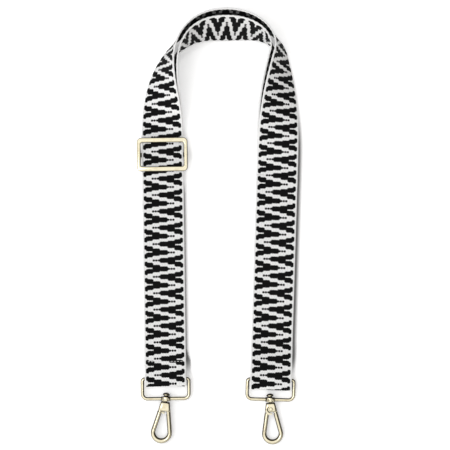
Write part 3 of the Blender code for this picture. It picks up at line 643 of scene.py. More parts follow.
def webbing_material(name, inverse):
    """Double weave: black trees on white, or the reverse on the back. White selvedges on both."""
    g = Graph(bpy.data.materials.new(name))
    uv = g.node("ShaderNodeUVMap", uv_map="weave").outputs[0]
    across, v = g.split(uv)[:2]
    x = g.sum("MULTIPLY_ADD", across, WEB_WIDTH / CORD, -SELVEDGE / CORD)
    t = g.sum("MULTIPLY", g.sum("SUBTRACT", g.sum("FRACT", g.sum("ADD", v, 0.5)), 0.5), PICKS)
    facing = g.sum("FRACT", g.sum("ADD", v, 0.5 - FACING_SHARE))
    t_facing = g.sum("MULTIPLY", g.sum("SUBTRACT", 0.5, facing), PICKS)
    x_facing = g.sum("SUBTRACT", CORDS, x)
    depth = g.sum("MAXIMUM", tree(g, x, t), tree(g, x_facing, t_facing))
    shrink = BACK_SHRINK if inverse else -FACE_GROWTH
    black = g.step(depth, shrink - EDGE_SOFTNESS, shrink + EDGE_SOFTNESS)
    if inverse:
        within = g.sum("MINIMUM", x, x_facing)
        inside = g.step(within, -EDGE_SOFTNESS, EDGE_SOFTNESS)
        black = g.sum("MULTIPLY", g.sum("SUBTRACT", 1.0, black), inside)
    # Cords and picks stand up between fine furrows, and neighbouring cords are half a pick apart
    along = g.sum("MULTIPLY_ADD", v, PICKS, g.sum("MULTIPLY", g.sum("FLOOR", x), 0.5))
    between = ridge(g, x, RIDGE_POWER)
    furrow = g.sum("MULTIPLY_ADD", ridge(g, along, RIDGE_POWER), PICK_SHARE, between)
    split = ridge(g, g.sum("MULTIPLY", x, STRANDS), STRAND_POWER)
    strand = g.sum("MULTIPLY_ADD", split, STRAND_SHARE, furrow)
    fibre = g.noise(uv, FIBRE_SCALE, 3.0)
    # Painted shade: furrows between cords and picks take a darker colour
    shade = g.sum("MULTIPLY", furrow, FURROW_SHADE, clamp=True)
    # The back's white is partly painted shade, for the gap between the arch's layers
    yarn, gap = (BACK_WHITE_DULLED_AND_SHADED, BACK_SHADE_AND_PATCHES) if inverse else (WHITE_YARN, WHITE_SHADE_AND_PATCHES)
    if inverse:
        yarn, gap = g.mix(inside, WHITE_YARN, yarn), g.mix(inside, WHITE_SHADE_AND_PATCHES, gap)
    white = g.mix(shade, yarn, gap)
    white = g.mix(g.step(g.noise(uv, PATCH_SCALE), *PATCHES), white, gap)
    dark = g.mix(shade, BLACK_YARN, BLACK_FURROW_SHADE)
    g.set(Base_Color=g.mix(black, white, dark), Roughness=0.8, Specular_IOR_Level=0.08)
    height = g.sum("MULTIPLY_ADD", strand, -1.0, g.sum("MULTIPLY", fibre, FIBRE_SHARE))
    g.bump(height, *WEAVE_BUMP)
    return g.owner


def thread_material():
    """Twisted white sewing thread, with painted shade in the grooves of its twist."""
    g = Graph(bpy.data.materials.new("sewing_thread"))
    twist = g.node("ShaderNodeTexWave", bands_direction="DIAGONAL")
    g.put(twist.inputs["Vector"], g.coords("Object"))
    twist.inputs["Scale"].default_value = TWIST_SCALE
    g.set(Base_Color=g.mix(twist.outputs[1], WHITE_SHADE_AND_PATCHES, WHITE_YARN), Roughness=0.7)
    g.bump(twist.outputs[1], *TWIST_BUMP)
    return g.owner


def gold_material():
    """Pale gold plating over a slightly uneven casting, with painted shade in hollows and on its
    sides.
    """
    g = Graph(bpy.data.materials.new("pale_gold_plating"))
    coords = g.coords("Object")
    rounded = g.node("ShaderNodeBevel", samples=EDGE_SAMPLES)
    rounded.inputs["Radius"].default_value = EDGE_RADIUS
    uneven = g.noise(coords, POLISH_SCALE, 3.0)
    tarnish = g.step(g.noise(coords, TARNISH_SCALE, 3.0), *TARNISH)
    # Painted shade: hollows and sides that turn away from straight up take the dark colour
    hollow = g.openness(HOLLOW_REACH, HOLLOW_SAMPLES)
    side = g.step(g.sum("ABSOLUTE", g.split(g.coords("Normal"))[2]), *SIDE_SHADE)
    unshaded = g.sum("MULTIPLY", side, g.step(hollow.outputs["AO"], *HOLLOW_SHADE))
    bright = g.mix(tarnish, GOLD, GOLD_DULL)
    g.set(Base_Color=g.mix(unshaded, GOLD_PAINTED_SHADE, bright), Metallic=1.0)
    g.set(Roughness=g.sum("MULTIPLY_ADD", uneven, *POLISH))
    g.bump(g.noise(coords, CASTING_SCALE), *CASTING_BUMP, rounded.outputs[0])
    return g.owner


def steel_material():
    """Drawn spring wire."""
    g = Graph(bpy.data.materials.new("spring_wire"))
    grain = g.noise(g.coords("Object"), GRAIN_SCALE)
    g.set(Base_Color=g.mix(grain, STEEL, STEEL_DULL), Metallic=1.0)
    g.set(Roughness=g.sum("MULTIPLY_ADD", grain, *GRAIN))
    return g.owner


# Meshes and objects


def turns(count):
    """Angles all round, in equal steps."""
    return [2 * math.pi * k / count for k in range(count)]


def as_mesh(name, bm):
    """A bmesh as a mesh. The bmesh is gone after it."""
    mesh = bpy.data.meshes.new(name)
    bm.to_mesh(mesh)
    bm.free()
    return mesh


def added(name, data):
    """A mesh, lamp or camera as an object of the scene."""
    obj = bpy.data.objects.new(name, data)
    bpy.context.scene.collection.objects.link(obj)
    return obj


# Pieces of webbing


def web_columns():
    """Places across the webbing from edge to edge, with each face's height above the middle."""
    places = []
    for i in range(SELVEDGE_STEPS + 1):
        a = math.pi / 2 * i / SELVEDGE_STEPS
        places.append((DRAWN_IN + SELVEDGE_RADIUS * (1 - math.cos(a)), WEB_THICK / 2 * math.sin(a)))
    count = CORDS * CORD_COLUMNS
    start = places[-1][0]
    span = WEB_WIDTH - 2 * start
    for i in range(1, count):
        place = start + span * i / count
        cord = (place - SELVEDGE) / CORD
        share = abs(2 * (cord - math.floor(cord)) - 1)
        places.append((place, WEB_THICK / 2 - CORD_RELIEF * share**3))
    return places + [(WEB_WIDTH - p, h) for p, h in places[: SELVEDGE_STEPS + 1][::-1]]


def proud(place, weave_v):
    """How far the face stands out at a place across the webbing and in the weave."""
    x = (place - SELVEDGE) / CORD
    share = weave_v + 0.5
    facing = weave_v + 0.5 - FACING_SHARE
    spots = (
        (x, (share - math.floor(share) - 0.5) * PICKS),
        (CORDS - x, (0.5 - facing + math.floor(facing)) * PICKS),
    )
    deep = -TREE_SLOPE
    for cord, pick in spots:
        for first, last, centre, half in BLOCKS:
            reach = (last - first) / 2
            wide = abs((cord - (first + last) / 2) / reach) ** CORNER_POWER
            tall = abs((pick - centre) / half) ** CORNER_POWER
            size = min(half, reach * CORD / PICK)
            deep = max(deep, size * (1 - (wide + tall) ** (1 / CORNER_POWER)))
    return TREE_RELIEF * smooth(deep / TREE_SLOPE)


def ripple(place, weave_v, normal):
    """How far an edge swings to and fro where the webbing stands."""
    near = max(0.0, 1 - min(place, WEB_WIDTH - place) / (2 * SELVEDGE))
    swing = math.sin(2 * math.pi * weave_v * PICKS / RIPPLE_PICKS)
    return RIPPLE * (1 - abs(normal.z)) * near * swing


def distances(rows):
    """Distance along the middle of the webbing at each station."""
    middles = np.array([(outer + inside) / 2 for outer, inside, _ in rows])
    steps = np.linalg.norm(np.diff(middles, axis=0), axis=1)
    return np.concatenate([[0], np.cumsum(steps)])


def seen_at(rows, axis, pixel, last=False):
    """Distance along a piece at which the middle of its trees is seen at a pixel."""
    first, end = BLOCKS[TREE_BLOCK][:2]
    place = SELVEDGE + (first + end) / 2 * CORD
    seen = []
    for outer, inside, normal in rows:
        p = outer + (inside - outer) * (place / WEB_WIDTH) + normal * (WEB_THICK / 2)
        scale = CAMERA_HEIGHT / (CAMERA_HEIGHT - p.z) / PIXEL
        across = FRAME_PIXELS / 2 + (p.x - CAMERA_X) * scale
        down = FRAME_PIXELS / 2 - (p.y - CAMERA_Y) * scale
        seen.append((across, down)[axis] - pixel)
    crossings = [i for i in range(len(seen) - 1) if seen[i] * seen[i + 1] < 0]
    i = crossings[-1 if last else 0]
    along = distances(rows)
    return along[i] + (along[i + 1] - along[i]) * seen[i] / (seen[i] - seen[i + 1])


def weave_places(along, marks):
    """Place in the weave, in periods, through marks of (distance, place) and evenly beyond them."""
    at, place = zip(*marks)
    before = np.minimum(along - at[0], 0) / PERIOD
    after = np.maximum(along - at[-1], 0) / PERIOD
    return np.interp(along, at, place) + before + after


def bake_spot(cell, across, share, cells, lanes):
    """Where a corner lies on the bake map. Cells fill lanes that lie side by side."""
    per_lane = math.ceil(cells / lanes)
    lane, pos = divmod(cell, per_lane)
    u = (lane + LANE_MARGIN + (1 - 2 * LANE_MARGIN) * across) / lanes
    v = LANE_MARGIN + (1 - 2 * LANE_MARGIN) * (pos + share) / per_lane
    return u, v


def web_piece(name, rows, marks, mats):
    """A piece of webbing through stations. Returns it with its length and its end in the weave."""
    places = web_columns()
    along = distances(rows)
    weave_v = weave_places(along, marks)
    bm = bmesh.new()
    weave = bm.loops.layers.uv.new("weave")
    bake = bm.loops.layers.uv.new("OFBake")
    grid = []
    for (outer, inside, normal), v in zip(rows, weave_v):
        across = (inside - outer) / WEB_WIDTH
        swing = [ripple(p, v, normal) for p, _ in places]
        high = [h + proud(p, v) for p, h in places]
        high[0], high[-1] = 0.0, 0.0
        front = [outer + across * p + normal * (h + d) for (p, _), h, d in zip(places, high, swing)]
        back = [outer + across * p - normal * (h - d) for (p, h), d in zip(places, swing)][1:-1]
        front, back = ([bm.verts.new(spot) for spot in line] for line in (front, back))
        grid.append((front, [front[0]] + back + [front[-1]]))
    steps = np.linalg.norm(np.diff(np.array(places), axis=0), axis=1)
    spans = np.concatenate([[0], np.cumsum(steps)]) / steps.sum()
    cells = 2 * (len(rows) - 1)
    lanes = max(1, round(math.sqrt(2 * along[-1] / WEB_WIDTH)))
    for i in range(len(rows) - 1):
        for side in (0, 1):
            for j in range(len(places) - 1):
                quad = [(i, j), (i, j + 1), (i + 1, j + 1), (i + 1, j)]
                quad = quad[::-1] if side else quad
                face = bm.faces.new([grid[a][side][b] for a, b in quad])
                face.material_index = side
                face.smooth = True
                for loop, (a, b) in zip(face.loops, quad):
                    loop[weave].uv = (places[b][0] / WEB_WIDTH, weave_v[a])
                    cell = side * (len(rows) - 1) + i
                    loop[bake].uv = bake_spot(cell, spans[b], a - i, cells, lanes)
    for end in (0, -1):
        front, back = grid[end]
        face = bm.faces.new(front + back[1:-1][::-1])
        for k, loop in enumerate(face.loops):
            loop[weave].uv = (0.0, weave_v[end])
            angle = 2 * math.pi * k / len(face.loops)
            spot = LANE_MARGIN / 4
            loop[bake].uv = (spot * (1 + math.cos(angle)), spot * (1 + math.sin(angle)))
    bmesh.ops.recalc_face_normals(bm, faces=bm.faces)
    mesh = as_mesh(name, bm)
    for mat in mats:
        mesh.materials.append(mat)
    obj = added(name, mesh)
    return obj, float(along[-1]), float(weave_v[-1])


def left_rows():
    """From the sewn end under the left ring's fold up to the slider's upper end."""
    low_ply = RING_Z - WRAP
    line = [(SEAM_RUN + TAIL_END, FRONT_Z - LAYER), (SEAM_RUN, FRONT_Z - LAYER)]
    line += ease_line(SEAM_RUN, FOLD_RUN, FRONT_Z - LAYER, low_ply)
    line += bend(-LEFT_SLACK, RING_Z, WRAP)
    line.append((SEAM_RUN, FRONT_Z))
    leg = shifted(stretch(RUN[0] + SEAM_RUN, -LEFT_ROLL_RUN, False))
    return join(fold(line, leg_place(True), -1), leg)


def right_rows():
    """Down the right leg, round its ring and back up underneath."""
    settle = RUN[-1] - FOLD_RUN - RIGHT_SETTLE
    low_ply = RING_Z - WRAP
    line = [(FOLD_RUN + RIGHT_SETTLE, RIGHT_FRONT_Z - LAYER)]
    line += ease_line(FOLD_RUN + RIGHT_SETTLE, FOLD_RUN, RIGHT_FRONT_Z - LAYER, low_ply)
    line += bend(-RIGHT_SLACK, RING_Z, WRAP)
    line += ease_line(FOLD_RUN, FOLD_RUN + RIGHT_SETTLE, FRONT_Z, RIGHT_FRONT_Z)
    turn = fold(line[::-1], leg_place(False), 1)
    down = shifted(stretch(RIGHT_ROLL_RUN, settle, False))
    up = shifted(stretch(settle, RIGHT_ROLL_RUN, True))
    return join(down, turn, up)


def slider_end_rows(reach):
    """From the arch's inner layer down to the slider and round its centre bar."""
    wrap = CENTRE_BAR_THICK / 2 + GAP + WEB_THICK / 2
    line = [(LOOP_TAIL, BAR_Z + wrap - LAYER), (LOOP_SEAM, BAR_Z + wrap - LAYER)]
    line += ease_line(LOOP_SEAM, CENTRE_BAR_WIDTH / 2 + GAP, BAR_Z + wrap - LAYER, BAR_Z - wrap)
    line += bend(-(CENTRE_BAR_WIDTH - CENTRE_BAR_THICK) / 2, BAR_Z, wrap)
    line.append((SLIDER_LENGTH / 2, BAR_Z + wrap))
    run = shifted(stretch(reach, -LEFT_ROLL_RUN, True))
    return join(run, fold(line[::-1], slider_place(), -1))


def left_marks(rows, end_place, shift):
    """Marks of the left leg's weave. Its slack is hidden under the slider's two cross bars."""
    first = seen_at(rows, 1, LEFT_TREE_FIRST, last=True)
    last = seen_at(rows, 1, LEFT_TREE_LAST, last=True)
    window = seen_at(rows, 1, WINDOW_TREE, last=True)
    rate = LEFT_TREES / (last - first)
    end = distances(rows)[-1]
    under = end - SLIDER_LENGTH
    marks = [(first, shift), (under, shift + (under - first) * rate)]
    for at in (under + SLIDER_BAR, end - SLIDER_BAR):
        marks.append((at, shift + WINDOW_PLACE + (at - window) * rate))
    return marks + [(end, end_place)]


def make_webbing():
    """All the webbing, piece by piece from the end at the left ring to the end at the slider."""
    mats = (webbing_material("webbing_face", False), webbing_material("webbing_back", True))
    shift = BLOCKS[TREE_BLOCK][2] / PICKS
    reach = -LEFT_ROLL_RUN * (1 - SLIDER_RUN_STEPS / LEFT_STEPS)
    arch = shifted(stretch(-LEFT_ROLL_RUN, RIGHT_ROLL_RUN, False))
    first, last = (seen_at(arch, 1, pixel) for pixel in (UPPER_TREE_FIRST, UPPER_TREE_LAST))
    rate = UPPER_TREES / (last - first)
    start = shift + UPPER_PLACE - first * rate
    rows = left_rows()
    left, length, _ = web_piece("webbing_left", rows, left_marks(rows, start, shift), mats)
    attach(left, "root")
    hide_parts("webbing_left_leg", "webbing_left_fold")

    rows = right_rows()
    right_pixels = (RIGHT_TREE_FIRST, RIGHT_TREE_LAST)
    right_first, right_last = (seen_at(rows, 1, pixel) for pixel in right_pixels)
    span = distances(arch)[-1]
    passed = shift + UPPER_PLACE + UPPER_TREES
    number = round((span - last + right_first) / PERIOD)
    end = passed + number * (span - last) / (span - last + right_first)
    marks = [(0, start), (last, passed), (span, end)]
    outside, length, place = web_piece("webbing_arch_outside", arch, marks, mats)
    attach(outside, "root")
    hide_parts("webbing_outer_arch")

    passed += number
    marks = [(0, place), (right_first, passed), (right_last, passed + RIGHT_TREES)]
    right, length, place = web_piece("webbing_right", rows, marks, mats)
    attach(right, "root")
    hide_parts("webbing_right_leg", "webbing_right_fold", "webbing_right_leg_under")

    rows = shifted(stretch(RIGHT_ROLL_RUN, reach, True))
    first, last = (seen_at(rows, 0, pixel) for pixel in (ARCH_TREE_FIRST, ARCH_TREE_LAST))
    number = round(place + first / PERIOD - shift) + shift
    marks = [(0, place), (first, number), (last, number + ARCH_TREES)]
    inside, length, place = web_piece("webbing_arch_inside", rows, marks, mats)
    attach(inside, "root")
    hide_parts("webbing_inner_arch")

    rows = slider_end_rows(reach)
    end, length, _ = web_piece("webbing_slider_end", rows, [(0, place)], mats)
    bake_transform(end)
    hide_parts("webbing_slider_run", "webbing_slider_loop")


def make_stitches(name, body, place, y, z, face):
    """A row of stitches across the webbing. face is 1 on its front and -1 on its back."""
    bm = bmesh.new()
    count = int((WEB_WIDTH - 2 * SELVEDGE) / STITCH_PITCH)
    for k in range(count):
        middle = (k - (count - 1) / 2) * STITCH_PITCH
        rings = []
        for i in range(STITCH_STEPS + 1):
            share = 2 * i / STITCH_STEPS - 1
            rise = STITCH_RISE - STITCH_WIDTH * share**6
            centre = Vector((middle + share * STITCH_LENGTH / 2, y, z + face * rise))
            radius = STITCH_WIDTH / 2 * (1 - share**8 / 2)
            around = [Vector((0, math.cos(a), math.sin(a))) for a in turns(STITCH_SIDES)]
            rings.append([centre + radius * spoke for spoke in around])
        loft(rings, bm=bm)
    obj = cast(name, bm, [], place, MATERIALS["thread"])
    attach(obj, body)


# Hardware, with the formulas of its solids


def loft(rings, closed=False, bm=None):
    """A skin through rings of points that all have the same count."""
    bm = bm or bmesh.new()
    rows = [[bm.verts.new(p) for p in ring] for ring in rings]
    count = len(rows[0])
    for low, high in zip(rows, rows[1:] + rows[:1]) if closed else zip(rows, rows[1:]):
        for i in range(count):
            j = (i + 1) % count
            bm.faces.new((low[i], low[j], high[j], high[i]))
    if not closed:
        bm.faces.new(rows[0][::-1])
        bm.faces.new(rows[-1])
    return bm


def turned(rows, axis, at=(0, 0, 0), sides=ROUND_SIDES):
    """A skin of ovals along Y or Z. Rows are (place along the axis, half width, half depth)."""
    rings = []
    for place, wide, deep in rows:
        ring = []
        for a in turns(sides):
            x, other = wide * math.cos(a), deep * math.sin(a)
            spot = (x, place, other) if axis == "Y" else (x, other, place)
            ring.append(Vector(at) + Vector(spot))
        rings.append(ring)
    return loft(rings)


def rod(radius, start, end, axis, at=(0, 0, 0)):
    """A round bar along Y or Z."""
    return turned([(start, radius, radius), (end, radius, radius)], axis, at)


def slab(outline, low, high, face):
    """A flat outline raised between two heights, which are turned over for a hook that lies so."""
    heights = sorted((low * face, high * face))
    return loft([[Vector((x, y, z)) for x, y in outline] for z in heights])


def body(bm):
    """A bmesh as an object, with its faces pointing out."""
    bmesh.ops.recalc_face_normals(bm, faces=bm.faces)
    return added("body", as_mesh("body", bm))


def cast(name, base, steps, place, mat):
    """A piece made of one body and a chain of Booleans with others, moved to its place."""
    rough = body(base)
    tools = []
    for operation, tool in steps:
        tools.append(body(tool))
        mod = rough.modifiers.new(operation, "BOOLEAN")
        mod.operation = operation
        mod.solver = "EXACT"
        mod.object = tools[-1]
    bpy.context.view_layer.update()
    graph = bpy.context.evaluated_depsgraph_get()
    mesh = bpy.data.meshes.new_from_object(rough.evaluated_get(graph))
    mesh.name = name
    for obj in [rough] + tools:
        bpy.data.objects.remove(obj, do_unlink=True)
    mesh.transform(place)
    mesh.shade_smooth()
    mesh.set_sharp_from_angle(angle=SHARP)
    mesh.materials.clear()
    mesh.materials.append(mat)
    return added(name, mesh)


def dress(obj, body_name, slot, *nodes):
    """Ties a piece to its body and hides the solids that it stands for. Its slot is not used."""
    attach(obj, body_name)
    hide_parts(*nodes)


def edge_rows(low, high, edge):
    """Heights and insets of a body whose two rims are quarter rounds."""
    rows = []
    for i in range(EDGE_STEPS + 1):
        a = math.pi / 2 * i / EDGE_STEPS
        rows.append((low + edge * (1 - math.cos(a)), edge * (1 - math.sin(a))))
    return rows + [(low + high - z, inset) for z, inset in rows[::-1]]


def rounded_loop(width, length, radii):
    """A rounded rectangle about the origin, with its own radius at each corner from +X +Y on."""
    points = []
    for k, radius in enumerate(radii):
        sx = 1 if k in (0, 3) else -1
        sy = 1 if k in (0, 1) else -1
        cx, cy = sx * (width / 2 - radius), sy * (length / 2 - radius)
        for i in range(CORNER_STEPS + 1):
            a = math.pi / 2 * (k + i / CORNER_STEPS)
            points.append((cx + radius * math.cos(a), cy + radius * math.sin(a)))
    return points


def ring_wire():
    """The square ring's wire, with its top bar's axis at the origin."""
    half = RING_WIRE / 2
    top, low = RING_TOP_CORNER + half, RING_CORNER + half
    path = rounded_loop(RING_INNER + RING_WIRE, RING_PITCH, (top, top, low, low))
    rings = []
    for i, (x, y) in enumerate(path):
        ahead = Vector((*path[(i + 1) % len(path)], 0))
        behind = Vector((*path[i - 1], 0))
        along = (ahead - behind).normalized()
        out = Vector((along.y, -along.x, 0)) * half
        centre = Vector((x, y - RING_PITCH / 2, 0))
        up = Vector((0, 0, half))
        rings.append([centre + out * math.cos(a) + up * math.sin(a) for a in turns(WIRE_SIDES)])
    return loft(rings, closed=True)


def make_ring(side, place):
    """Square ring with a barrel for the swivel and two hollows on each face, in painted shade."""
    at = (0, -RING_PITCH, 0)
    rows = edge_rows(-BOSS_LENGTH / 2, BOSS_LENGTH / 2, BOSS_EDGE)
    boss = [(y, BOSS_WIDTH / 2 - inset, BOSS_DEPTH / 2 - inset) for y, inset in rows]
    reach = BOSS_LENGTH / 2 + OVERRUN
    bore = rod(NECK_BORE / 2, -reach, reach, "Y", at)
    steps = [("UNION", turned(boss, "Y", at)), ("DIFFERENCE", bore)]
    for face in (-1, 1):
        for k in (-1, 1):
            spot = (k * OVAL_SPREAD / 2, -RING_PITCH, face * BOSS_DEPTH / 2)
            oval = [(z, OVAL_WIDTH / 2, OVAL_LENGTH / 2) for z in (-OVAL_DEPTH, OVAL_DEPTH)]
            steps.append(("DIFFERENCE", turned(oval, "Z", spot)))
    obj = cast(f"ring_{side}", ring_wire(), steps, place, MATERIALS["gold"])
    dress(obj, f"{side}_ring", "pale_gold", f"{side}_ring")


def hook_flare():
    """Angle of the loop's straight sides, from the neck's end to where they touch its round end."""
    half = NECK_FOOT_WIDTH / 2
    drop = HOOK_LENGTH - HOOK_WIDTH / 2 - NECK_END
    return math.asin(HOOK_WIDTH / 2 / math.hypot(half, drop)) - math.atan2(half, drop)


def hook_lines():
    """Outer and inner outline points of the loop, from the left of the neck round to the right."""
    flare = hook_flare()
    outer_r = HOOK_WIDTH / 2
    inner_r = outer_r - HOOK_SIDE
    outer_c = HOOK_LENGTH - outer_r
    inner_c = HOOK_LENGTH - HOOK_FOOT - inner_r
    start = (PIVOT_DROP + NECK_END) / 2
    outer, inner = [], []
    for line, radius, centre in ((outer, outer_r, outer_c), (inner, inner_r, inner_c)):
        touch_x = radius * math.cos(flare)
        touch_y = centre - radius * math.sin(flare)
        for i in range(HOOK_STEPS // 2):
            y = start + (touch_y - start) * i / (HOOK_STEPS // 2)
            line.append((-touch_x + (touch_y - y) * math.tan(flare), y))
        for i in range(HOOK_STEPS + 1):
            a = -flare + (math.pi + 2 * flare) * i / HOOK_STEPS
            line.append((-radius * math.cos(a), centre + radius * math.sin(a)))
        for x, y in line[: HOOK_STEPS // 2][::-1]:
            line.append((-x, y))
    return outer, inner


def hook_tube(last):
    """The loop's stock from its left end to one of its stations, as a bar of oval section."""
    outer, inner = hook_lines()
    rings = []
    for (ox, oy), (ix, iy) in list(zip(outer, inner))[:last]:
        centre = Vector(((ox + ix) / 2, -(oy + iy) / 2, 0))
        reach = Vector(((ox - ix) / 2, -(oy - iy) / 2, 0))
        up = Vector((0, 0, HOOK_THICK / 2))
        rings.append([centre + reach * math.cos(a) + up * math.sin(a) for a in turns(HOOK_SIDES)])
    return loft(rings)


def neck_half_width(y):
    """Half the neck's width at a distance below the ring's bar, in line with the loop's sides."""
    return NECK_FOOT_WIDTH / 2 - (NECK_END - y) * math.tan(hook_flare())


def neck_body():
    """The neck, from a shoulder under the boss to the top of the loop's window."""
    deep = NECK_THICK / 2
    low = (NECK_THICK + HOOK_THICK) / 4
    rows = (
        (SEAT, NECK_TOP_WIDTH / 2, deep - 2 * NECK_EDGE),
        (SEAT + NECK_EDGE, neck_half_width(SEAT + NECK_EDGE), deep - NECK_EDGE),
        (SEAT + 3 * NECK_EDGE, neck_half_width(SEAT + 3 * NECK_EDGE), deep),
        (PIVOT_DROP + PIN_HEAD_WIDTH / 2, neck_half_width(PIVOT_DROP + PIN_HEAD_WIDTH / 2), deep),
        (NECK_END - NECK_EDGE, neck_half_width(NECK_END - NECK_EDGE), low),
        (NECK_END, neck_half_width(NECK_END), low - NECK_EDGE),
    )
    rings = []
    for y, wide, tall in rows:
        ring = []
        for i in range(NECK_SIDES):
            a = 2 * math.pi * (i + 0.5) / NECK_SIDES
            c, s = math.cos(a), math.sin(a)
            scale = (abs(c) ** NECK_POWER + abs(s) ** NECK_POWER) ** (-1 / NECK_POWER)
            ring.append(Vector((wide * c * scale, -y, tall * s * scale)))
        rings.append(ring)
    return loft(rings)


def arc(radius, first, last, drop=PIVOT_DROP):
    """Points round the gate's pivot. Angles open to the left of straight down."""
    points = []
    count = max(2, round(abs(last - first) / ARC_STEP))
    for i in range(count + 1):
        a = first + (last - first) * i / count
        points.append((-radius * math.sin(a), -drop - radius * math.cos(a)))
    return points


def gate_window(clear):
    """The stretch of the loop's left side that belongs to the gate, grown or shrunk by a gap."""
    outline = arc(NECK_ROUND - clear, NECK_ROUND_TOP, NECK_ROUND_END)
    middle_x, far_x = -PIN_WIDTH / 2, -HOOK_WIDTH
    seam_x, seam_y = HOOK_SIDE - HOOK_WIDTH / 2, -NOSE_DROP - clear / math.cos(NOSE_SLANT)
    for x in (middle_x, far_x):
        outline.append((x, seam_y + (seam_x - x) * math.tan(NOSE_SLANT)))
    outline.append((far_x, outline[0][1]))
    return outline


def recess_outline():
    """Room on the neck's open face for the swinging knuckle, with a groove round the island."""
    start = KNUCKLE_START - GATE_SWING - SWING_SPARE
    step = KNUCKLE_END + SWING_SPARE
    outer = arc(NECK_ROUND + GAP, start, step) + arc(KNUCKLE_BORE / 2, step, GROOVE_END)
    return outer + arc(DISC_WIDTH / 2, GROOVE_END, start)


def slot_outline():
    """Room in the island for the gate's eye and for its tongue at both ends of the swing."""
    start = EYE_END - 2 * math.pi - GATE_SWING - SWING_SPARE
    end = EYE_START + SWING_SPARE
    eye = arc(EYE_WIDTH / 2 + GAP, end + SWING_SPARE, 2 * math.pi + start - SWING_SPARE)
    return eye + arc(DISC_WIDTH / 2 + GAP, start, end)


def knuckle_outline():
    """Curved end of the gate round the island, running into the gate's bar."""
    outline = arc(KNUCKLE_BORE / 2, KNUCKLE_END, KNUCKLE_START, 0)
    outline += arc(KNUCKLE_WIDTH / 2, KNUCKLE_START, ROOT_START, 0)
    outline += arc(NECK_ROUND + 2 * GAP, ROOT_START, ROOT_END, 0)
    return outline + arc(KNUCKLE_WIDTH / 2, ROOT_END, KNUCKLE_END, 0)


def tongue_outline():
    """Flat tongue: an eye round the pin that widens into the knuckle."""
    outline = arc(EYE_WIDTH / 2, EYE_START, EYE_END, 0)
    return outline + arc((KNUCKLE_BORE + KNUCKLE_WIDTH) / 4, TONGUE_START, TONGUE_END, 0)


def make_hook(side, face, place):
    """Hook body: post, neck and loop. face is 1 where the neck's open face is up."""
    full = NECK_THICK / 2 + OVERRUN
    floor = -NECK_THICK / 2 + PIN_FLOOR
    post = rod(POST_WIDTH / 2, -(PIVOT_DROP + SEAT) / 2, DOME_SEAT + POST_GRIP, "Y")
    bore = rod(PIN_WIDTH / 2 + GAP, *sorted((floor * face, full * face)), "Z", (0, -PIVOT_DROP, 0))
    steps = [
        ("UNION", hook_tube(None)),
        ("UNION", post),
        ("DIFFERENCE", slab(gate_window(0), -full, full, 1)),
        ("DIFFERENCE", slab(recess_outline(), SLOT_FLOOR, full, face)),
        ("DIFFERENCE", slab(slot_outline(), SLOT_FLOOR, SLOT_ROOF, face)),
        ("DIFFERENCE", bore),
    ]
    obj = cast(f"hook_{side}", neck_body(), steps, place, MATERIALS["gold"])
    dress(obj, f"{side}_hook", "pale_gold", f"{side}_hook")


def make_gate(side, face, place):
    """Gate with its knuckle and tongue. Its origin is the pin's axis."""
    full = NECK_THICK / 2 + OVERRUN
    low = SLOT_FLOOR + GAP
    tube, limit = hook_tube(HOOK_STEPS), slab(gate_window(-GAP), -full, full, 1)
    for bm in (tube, limit):
        bmesh.ops.translate(bm, verts=bm.verts, vec=(0, PIVOT_DROP, 0))
    steps = [
        ("INTERSECT", limit),
        ("UNION", slab(knuckle_outline(), low, HOOK_THICK / 2 - GAP, face)),
        ("UNION", slab(tongue_outline(), low, low + TONGUE_THICK, face)),
        ("DIFFERENCE", rod(PIN_WIDTH / 2 + GAP, -full, full, "Z")),
    ]
    obj = cast(f"gate_{side}", tube, steps, place, MATERIALS["gold"])
    dress(obj, f"{side}_gate", "pale_gold", f"{side}_gate")


def make_pin(side, face, place):
    """Pivot pin: blind in the closed wall, with a low domed head on the open face."""
    low, high = -NECK_THICK / 2 + PIN_FLOOR + GAP, NECK_THICK / 2 + GAP
    rows = [(low, PIN_WIDTH / 2), (high, PIN_WIDTH / 2)]
    rows += [(high, PIN_HEAD_WIDTH / 2), (high + PIN_HEAD_HEIGHT / 4, PIN_HEAD_WIDTH / 2)]
    for i in range(1, EDGE_STEPS + 1):
        a = math.pi / 2 * i / (EDGE_STEPS + 1)
        rise = PIN_HEAD_HEIGHT * (1 + 3 * math.sin(a)) / 4
        rows.append((high + rise, PIN_HEAD_WIDTH / 2 * math.cos(a)))
    bm = turned([(z * face, radius, radius) for z, radius in rows], "Z")
    obj = cast(f"pin_{side}", bm, [], place, MATERIALS["gold"])
    dress(obj, f"{side}_hook", "pale_gold", f"{side}_gate_pin")


def make_spring(side, face, place):
    """Torsion spring round the pin, beside the tongue, with one leg along the tongue."""
    half = SPRING_WIRE / 2
    radius = PIN_WIDTH / 2 + GAP + half
    pitch = SPRING_WIRE + GAP / 2
    low = SLOT_FLOOR + GAP + TONGUE_THICK + GAP + half
    leg_angle = (TONGUE_START + TONGUE_END) / 2
    path = []
    for i in range(SPRING_TURNS * SPRING_STEPS + 1):
        a = 2 * math.pi * i / SPRING_STEPS - leg_angle
        z = low + pitch * i / SPRING_STEPS
        path.append(Vector((radius * math.cos(a), radius * math.sin(a), z)))
    leg = Vector((math.sin(leg_angle), math.cos(leg_angle), 0)) * SPRING_LEG
    path = [path[0] - leg] + path + [path[-1] + leg / 4]
    rings = []
    for i, point in enumerate(path):
        along = (path[min(i + 1, len(path) - 1)] - path[max(i - 1, 0)]).normalized()
        side_on = along.cross(Vector((0, 0, 1))).normalized()
        up = side_on.cross(along)
        ring = []
        for a in turns(SPRING_SIDES):
            p = point + side_on * half * math.cos(a) + up * half * math.sin(a)
            ring.append(Vector((p.x, p.y, p.z * face)))
        rings.append(ring)
    obj = cast(f"spring_{side}", loft(rings), [], place, MATERIALS["steel"])
    dress(obj, f"{side}_hook", "spring_steel", f"{side}_gate_spring")


